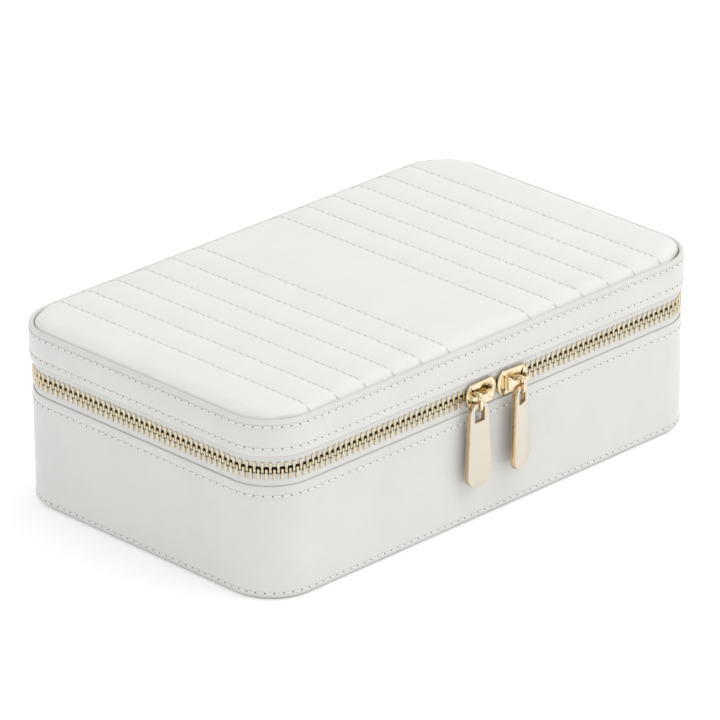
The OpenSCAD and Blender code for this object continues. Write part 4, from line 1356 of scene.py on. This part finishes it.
# front view of the plate: broad round nose, slightly narrower tail
def sliderOutline():
    nose, tail, length = sliderLook["noseRound"], sliderLook["tailRound"], sliderLook["length"]

    def halfHeight(x):
        tall = sliderLook["tail"] / 2 + (sliderLook["nose"] - sliderLook["tail"]) / 2 * (x + length) / length
        if x > -nose:
            tall = min(tall, math.sqrt(max(nose ** 2 - (x + nose) ** 2, 0)))
        if x < tail - length:
            tall = min(tall, math.sqrt(max(tail ** 2 - (x + length - tail) ** 2, 0)))
        return tall

    marks = [-length / 2 - length / 2 * math.cos(t) for t in np.linspace(0.0, math.pi, 31)]
    top = [(x, halfHeight(x)) for x in marks]
    low = [(x, -z) for x, z in top[::-1][1:-1]]
    return [Vector(p) for p in (top + low)[::-1]]


def insetLoop(loop, inset):
    moved = []
    for i, p in enumerate(loop):
        along = (loop[(i + 1) % len(loop)] - loop[i - 1]).normalized()
        moved.append(p - Vector((along.y, -along.x)) * inset)
    return moved


# plate in the XZ plane, rounded on both faces; front is further out
def facePlate(loop, back, front, edge):
    soft = edge * 0.6
    rings = [(soft * (1 - math.sin(a)), back + soft * (1 - math.cos(a)))
             for a in np.linspace(0, math.pi / 2, 4)]
    rings += [(edge * (1 - math.cos(a)), front - edge * (1 - math.sin(a)))
              for a in np.linspace(0, math.pi / 2, 5)]
    rings += [(edge + more, front) for more in (1.26, 2.52)]
    verts = [(p.x * mm, -out * mm, p.y * mm) for inset, out in rings for p in insetLoop(loop, inset)]
    faces, _ = gridFaces(len(rings), len(loop), False, True)
    return verts, faces + endCaps(len(rings), len(loop))


# slider with its nose at the origin and its tail towards -X; z 0 is the zip's middle
def sliderParts():
    look, loop = sliderLook, sliderOutline()
    parts = [facePlate(loop, look["back"], look["front"], look["edge"]),
             facePlate(loop, look["innerBack"], look["innerFront"], look["innerEdge"])]
    parts += [roundBox((x0, -out1, z0), (x1, -out0, z1), edge)
              for x0, x1, out0, out1, z0, z1, edge in look["boxes"]]
    return joined(parts)


# arched strap over the plate: a broad crown at the nose, drawn in to a bar that the link hangs from
def bridgeParts():
    look, tall0, bend = bridgeLook, bridgeLook["halfTall"], bridgeLook["bend"]
    x0, x1 = look["start"] - look["inset"], look["end"] + look["inset"]
    low, high = sliderLook["front"] - 0.3, linkLook["pivotOut"]
    path = rounded([(x0, low), (x0, high), (x1, high), (x1, low)], [0, bend, bend, 0], 7)
    middle = [(x, high) for x in np.linspace(x0 - bend - 0.2, x1 + bend + 0.2, 12)]
    cut = len(path) // 2
    points = [Vector((x, -out, 0)) for x, out in path[:cut] + middle + path[cut:]]
    w, h = look["halfThick"], tall0
    section = rounded([(-w, -h), (w, -h), (w, h), (-w, h)], [look["edge"]] * 4, 4)
    verts = []
    for i, p in enumerate(points):
        a, b = points[max(i - 1, 0)], points[min(i + 1, len(points) - 1)]
        side = (b - a).normalized().cross(up)
        near = min(max((look["start"] - p.x) / look["crownLength"], 0), 1)
        tall = tall0 + (look["crown"] - tall0) * (0.5 + 0.5 * math.cos(math.pi * near))
        foot = min(max((1.9 + p.y) / 0.9, 0), 1)
        tall = max(tall, tall0 + look["foot"] * foot)
        for out, height in section:
            part = height / tall0
            lean = 1 - look["lean"] * part ** 2 * (tall - tall0) / (look["crown"] - tall0)
            verts.append(tuple(p + side * out * lean + up * part * tall))
    faces, _ = gridFaces(len(points), len(section), False, True)
    return scaled((verts, faces + endCaps(len(points), len(section))))


# oval wire link hanging from its pivot at the origin
def linkParts():
    wire, points, outs = linkLook["wire"], [], []
    for end, drop in ((1, 0.0), (-1, linkLook["straight"])):
        for a in np.linspace(0, math.pi, 17):
            outs.append(Vector((0, -end * math.cos(a), end * math.sin(a))))
            points.append(outs[-1] * linkLook["radius"] - up * drop)
    section = [(wire * math.cos(a), wire * math.sin(a)) for a in np.linspace(0, 2 * math.pi, 13)[:-1]]
    return scaled(sweepAlong(points, outs, [Vector((1, 0, 0))] * len(points), section, closed=True))


# flared pull with a square window; its top edge is at z 0
def pullParts():
    look = pullLook
    slope = math.atan((look["endWidth"] - look["topWidth"]) / 2 / look["length"])
    quarter = math.pi / 2
    ends = ((1, look["topRound"], look["topWidth"], -look["topRound"], (slope, quarter, 2 * quarter - slope)),
            (-1, look["endRound"], look["endWidth"], look["endRound"] - look["length"],
             (2 * quarter - slope, 3 * quarter, 4 * quarter + slope)))
    outline = []
    for sign, r, width, y, turns in ends:
        cx = width / 2 + sign * r * math.tan(slope) - r / math.cos(slope)
        for side, start, stop in ((sign, turns[0], turns[1]), (-sign, turns[1], turns[2])):
            outline += [(side * cx + r * math.cos(a), y + r * math.sin(a))
                        for a in np.linspace(start, stop, 11)]
    w, top, low = look["window"] / 2, look["windowRound"] - look["bar"], -look["bar"] - look["window"]
    window = rounded([(-w, top), (-w, low), (w, low), (w, top)], [look["windowRound"]] * 4, 3)
    curve = bpy.data.curves.new("pullShape", "CURVE")
    curve.dimensions, curve.fill_mode = "2D", "BOTH"
    curve.extrude = look["thick"] / 2 - look["bevel"]
    curve.bevel_depth, curve.bevel_resolution, curve.offset = look["bevel"], 3, -look["bevel"]
    for line in (outline, window):
        spline = curve.splines.new("POLY")
        spline.points.add(len(line) - 1)
        for k, (x, y) in enumerate(line):
            spline.points[k].co = (x, y, 0, 1)
        spline.use_cyclic_u = True
    work = bpy.data.objects.new("pullShape", curve)
    scratch.objects.link(work)
    bpy.context.view_layer.update()
    merged = bmesh.new()
    merged.from_mesh(bakedMesh(work))
    bpy.data.objects.remove(work)
    bmesh.ops.remove_doubles(merged, verts=merged.verts, dist=1e-4)
    merged.verts.index_update()
    verts = [(v.co.x * mm, -v.co.z * mm, v.co.y * mm) for v in merged.verts]
    faces = [tuple(v.index for v in f.verts) for f in merged.faces]
    merged.free()
    return verts, faces


# mirrors for the right hand, turns about the pivot's vertical and moves
def placed(part, move, side, turn=0.0, pivot=(0, 0, 0)):
    rotation = Matrix.Rotation(math.radians(turn), 3, "Z")
    out = []
    for v in part[0]:
        p = rotation @ Vector(v) + Vector(pivot) * mm
        out.append((p.x * side + move[0] * mm, p.y + move[1] * mm, p.z + move[2] * mm))
    faces = part[1] if side > 0 else [tuple(reversed(f)) for f in part[1]]
    return out, faces


# the faces that look along the direction take the first material, the edges take the second, a darker gold
# that paints the shade and dark reflections the edges show
def paintShadeOnEdges(made, facing, least):
    for polygon in made.data.polygons:
        polygon.material_index = 0 if abs(polygon.normal.dot(facing)) > least else 1


# "along" is how far the pull hangs from the nose, "twist" how far it is turned, in degrees
hands = {"left": {"side": 1, "nose": 0.6, "along": 12.8, "twist": 0.0},
         "right": {"side": -1, "nose": 1.4, "along": 9.3, "twist": 18.0}}


def handPieces(hand, look):
    side, twist, title = look["side"], look["twist"], hand.title()
    base = (look["nose"], -case["depth"] / 2, case["zipMiddle"])
    pivot, body = (-look["along"], -linkLook["pivotOut"], 0), "slider_" + hand
    # the edges of the slider and pull take the darker gold, painted shade and reflection
    slider = addPiece("slider" + title, placed(sliderParts(), base, side), [castGold, edgeGold],
                      body, "gold", [body], sharpAngle=42)
    paintShadeOnEdges(slider, Vector((0, 1, 0)), 0.45)
    addPiece("bridge" + title, placed(bridgeParts(), base, side), [castGold],
             body, "gold", ["bridge_" + hand], sharpAngle=42)
    body = "link_" + hand
    addPiece("link" + title, placed(linkParts(), base, side, -twist, pivot), [castGold], body, "gold", [body])
    pivot, body = (*pivot[:2], pullLook["top"] - case["zipMiddle"]), "pull_" + hand
    pull = addPiece("pull" + title, placed(pullParts(), base, side, -twist, pivot), [gold, edgeGold],
                    body, "gold", [body], sharpAngle=35)
    paintShadeOnEdges(pull, Matrix.Rotation(math.radians(-twist * side), 3, "Z") @ Vector((0, 1, 0)), 0.6)


for handName, handLook in hands.items():
    handPieces(handName, handLook)
print("sliders and pulls made")

studio = {"world": 0.89, "dim": 0.20, "floorGlow": 0.26, "floorHalf": 6.0, "aim": (0, 0, 0.05),
          "lamps": (("keyLight", (0.5, -0.9, 1.5), 1.2, 5.0), ("fillLight", (1.3, 0.4, 1.0), 1.0, 1.6))}
# angles in degrees, the point looked at in millimetres, the distance in metres
view = {"azimuth": -44.55, "elevation": 24.29, "roll": -0.47, "point": (5.5, -3.0, 40.9), "distance": 2.3044,
        "lens": 296.8, "shift": (-16.6 / 720, -0.6 / 720)}


def studioLight(scene):
    scene.view_settings.view_transform = "Standard"
    world = bpy.data.worlds.new("studio")
    scene.world = world
    world.use_nodes = True
    tree = world.node_tree
    backdrop = tree.nodes["Background"]
    backdrop.inputs[0].default_value = (0.985, 0.99, 1.0, 1.0)
    # a little less light from the left, as from a dark room beside the table
    way = addNode(tree, "ShaderNodeTexCoord").outputs["Generated"]
    side = addNode(tree, "ShaderNodeSeparateXYZ", {0: way}).outputs[0]
    strength = remap(tree, side, studio["world"] * (1 - studio["dim"]), studio["world"], -0.9, 0.1)
    tree.links.new(strength, backdrop.inputs[1])
    for name, place, size, power in studio["lamps"]:
        light = bpy.data.lights.new(name, "AREA")
        light.shape, light.size, light.energy = "DISK", size, power
        lamp = bpy.data.objects.new(name, light)
        lamp.location = place
        lamp.rotation_euler = (Vector(studio["aim"]) - Vector(place)).to_track_quat("-Z", "Y").to_euler()
        scene.collection.objects.link(lamp)


def studioFloor(scene):
    material, _, shader = newMaterial("paleFloor", Roughness=0.9, Specular_IOR_Level=0.1)
    shader.inputs["Base Color"].default_value = (0.93, 0.93, 0.93, 1)
    shader.inputs["Emission Color"].default_value = (1, 1, 1, 1)
    shader.inputs["Emission Strength"].default_value = studio["floorGlow"]
    half = studio["floorHalf"]
    mesh = bpy.data.meshes.new("studioFloor")
    mesh.from_pydata([(x * half, y * half, 0) for x, y in ((-1, -1), (1, -1), (1, 1), (-1, 1))], [],
                     [(0, 1, 2, 3)])
    mesh.materials.append(material)
    floor = bpy.data.objects.new("studioFloor", mesh)
    scene.collection.objects.link(floor)


def studioCamera(scene):
    azimuth, elevation, roll = (math.radians(view[key]) for key in ("azimuth", "elevation", "roll"))
    back = Vector((math.sin(azimuth) * math.cos(elevation), -math.cos(azimuth) * math.cos(elevation),
                   math.sin(elevation)))
    right = Vector((math.cos(azimuth), math.sin(azimuth), 0))
    upward = back.cross(right)
    rightRolled = right * math.cos(roll) + upward * math.sin(roll)
    upwardRolled = upward * math.cos(roll) - right * math.sin(roll)
    camera = bpy.data.cameras.new("camera")
    camera.sensor_width, camera.lens = 36.0, view["lens"]
    camera.shift_x, camera.shift_y = view["shift"]
    camera.clip_start, camera.clip_end = 0.1, 50
    holder = bpy.data.objects.new("camera", camera)
    turn = Matrix((rightRolled, upwardRolled, back)).transposed().to_4x4()
    holder.matrix_world = Matrix.Translation(Vector(view["point"]) * mm + back * view["distance"]) @ turn
    scene.collection.objects.link(holder)
    scene.camera = holder


studioLight(bpy.context.scene)
studioFloor(bpy.context.scene)
studioCamera(bpy.context.scene)
bpy.context.scene.collection.children.unlink(scratch)
bpy.data.collections.remove(scratch)
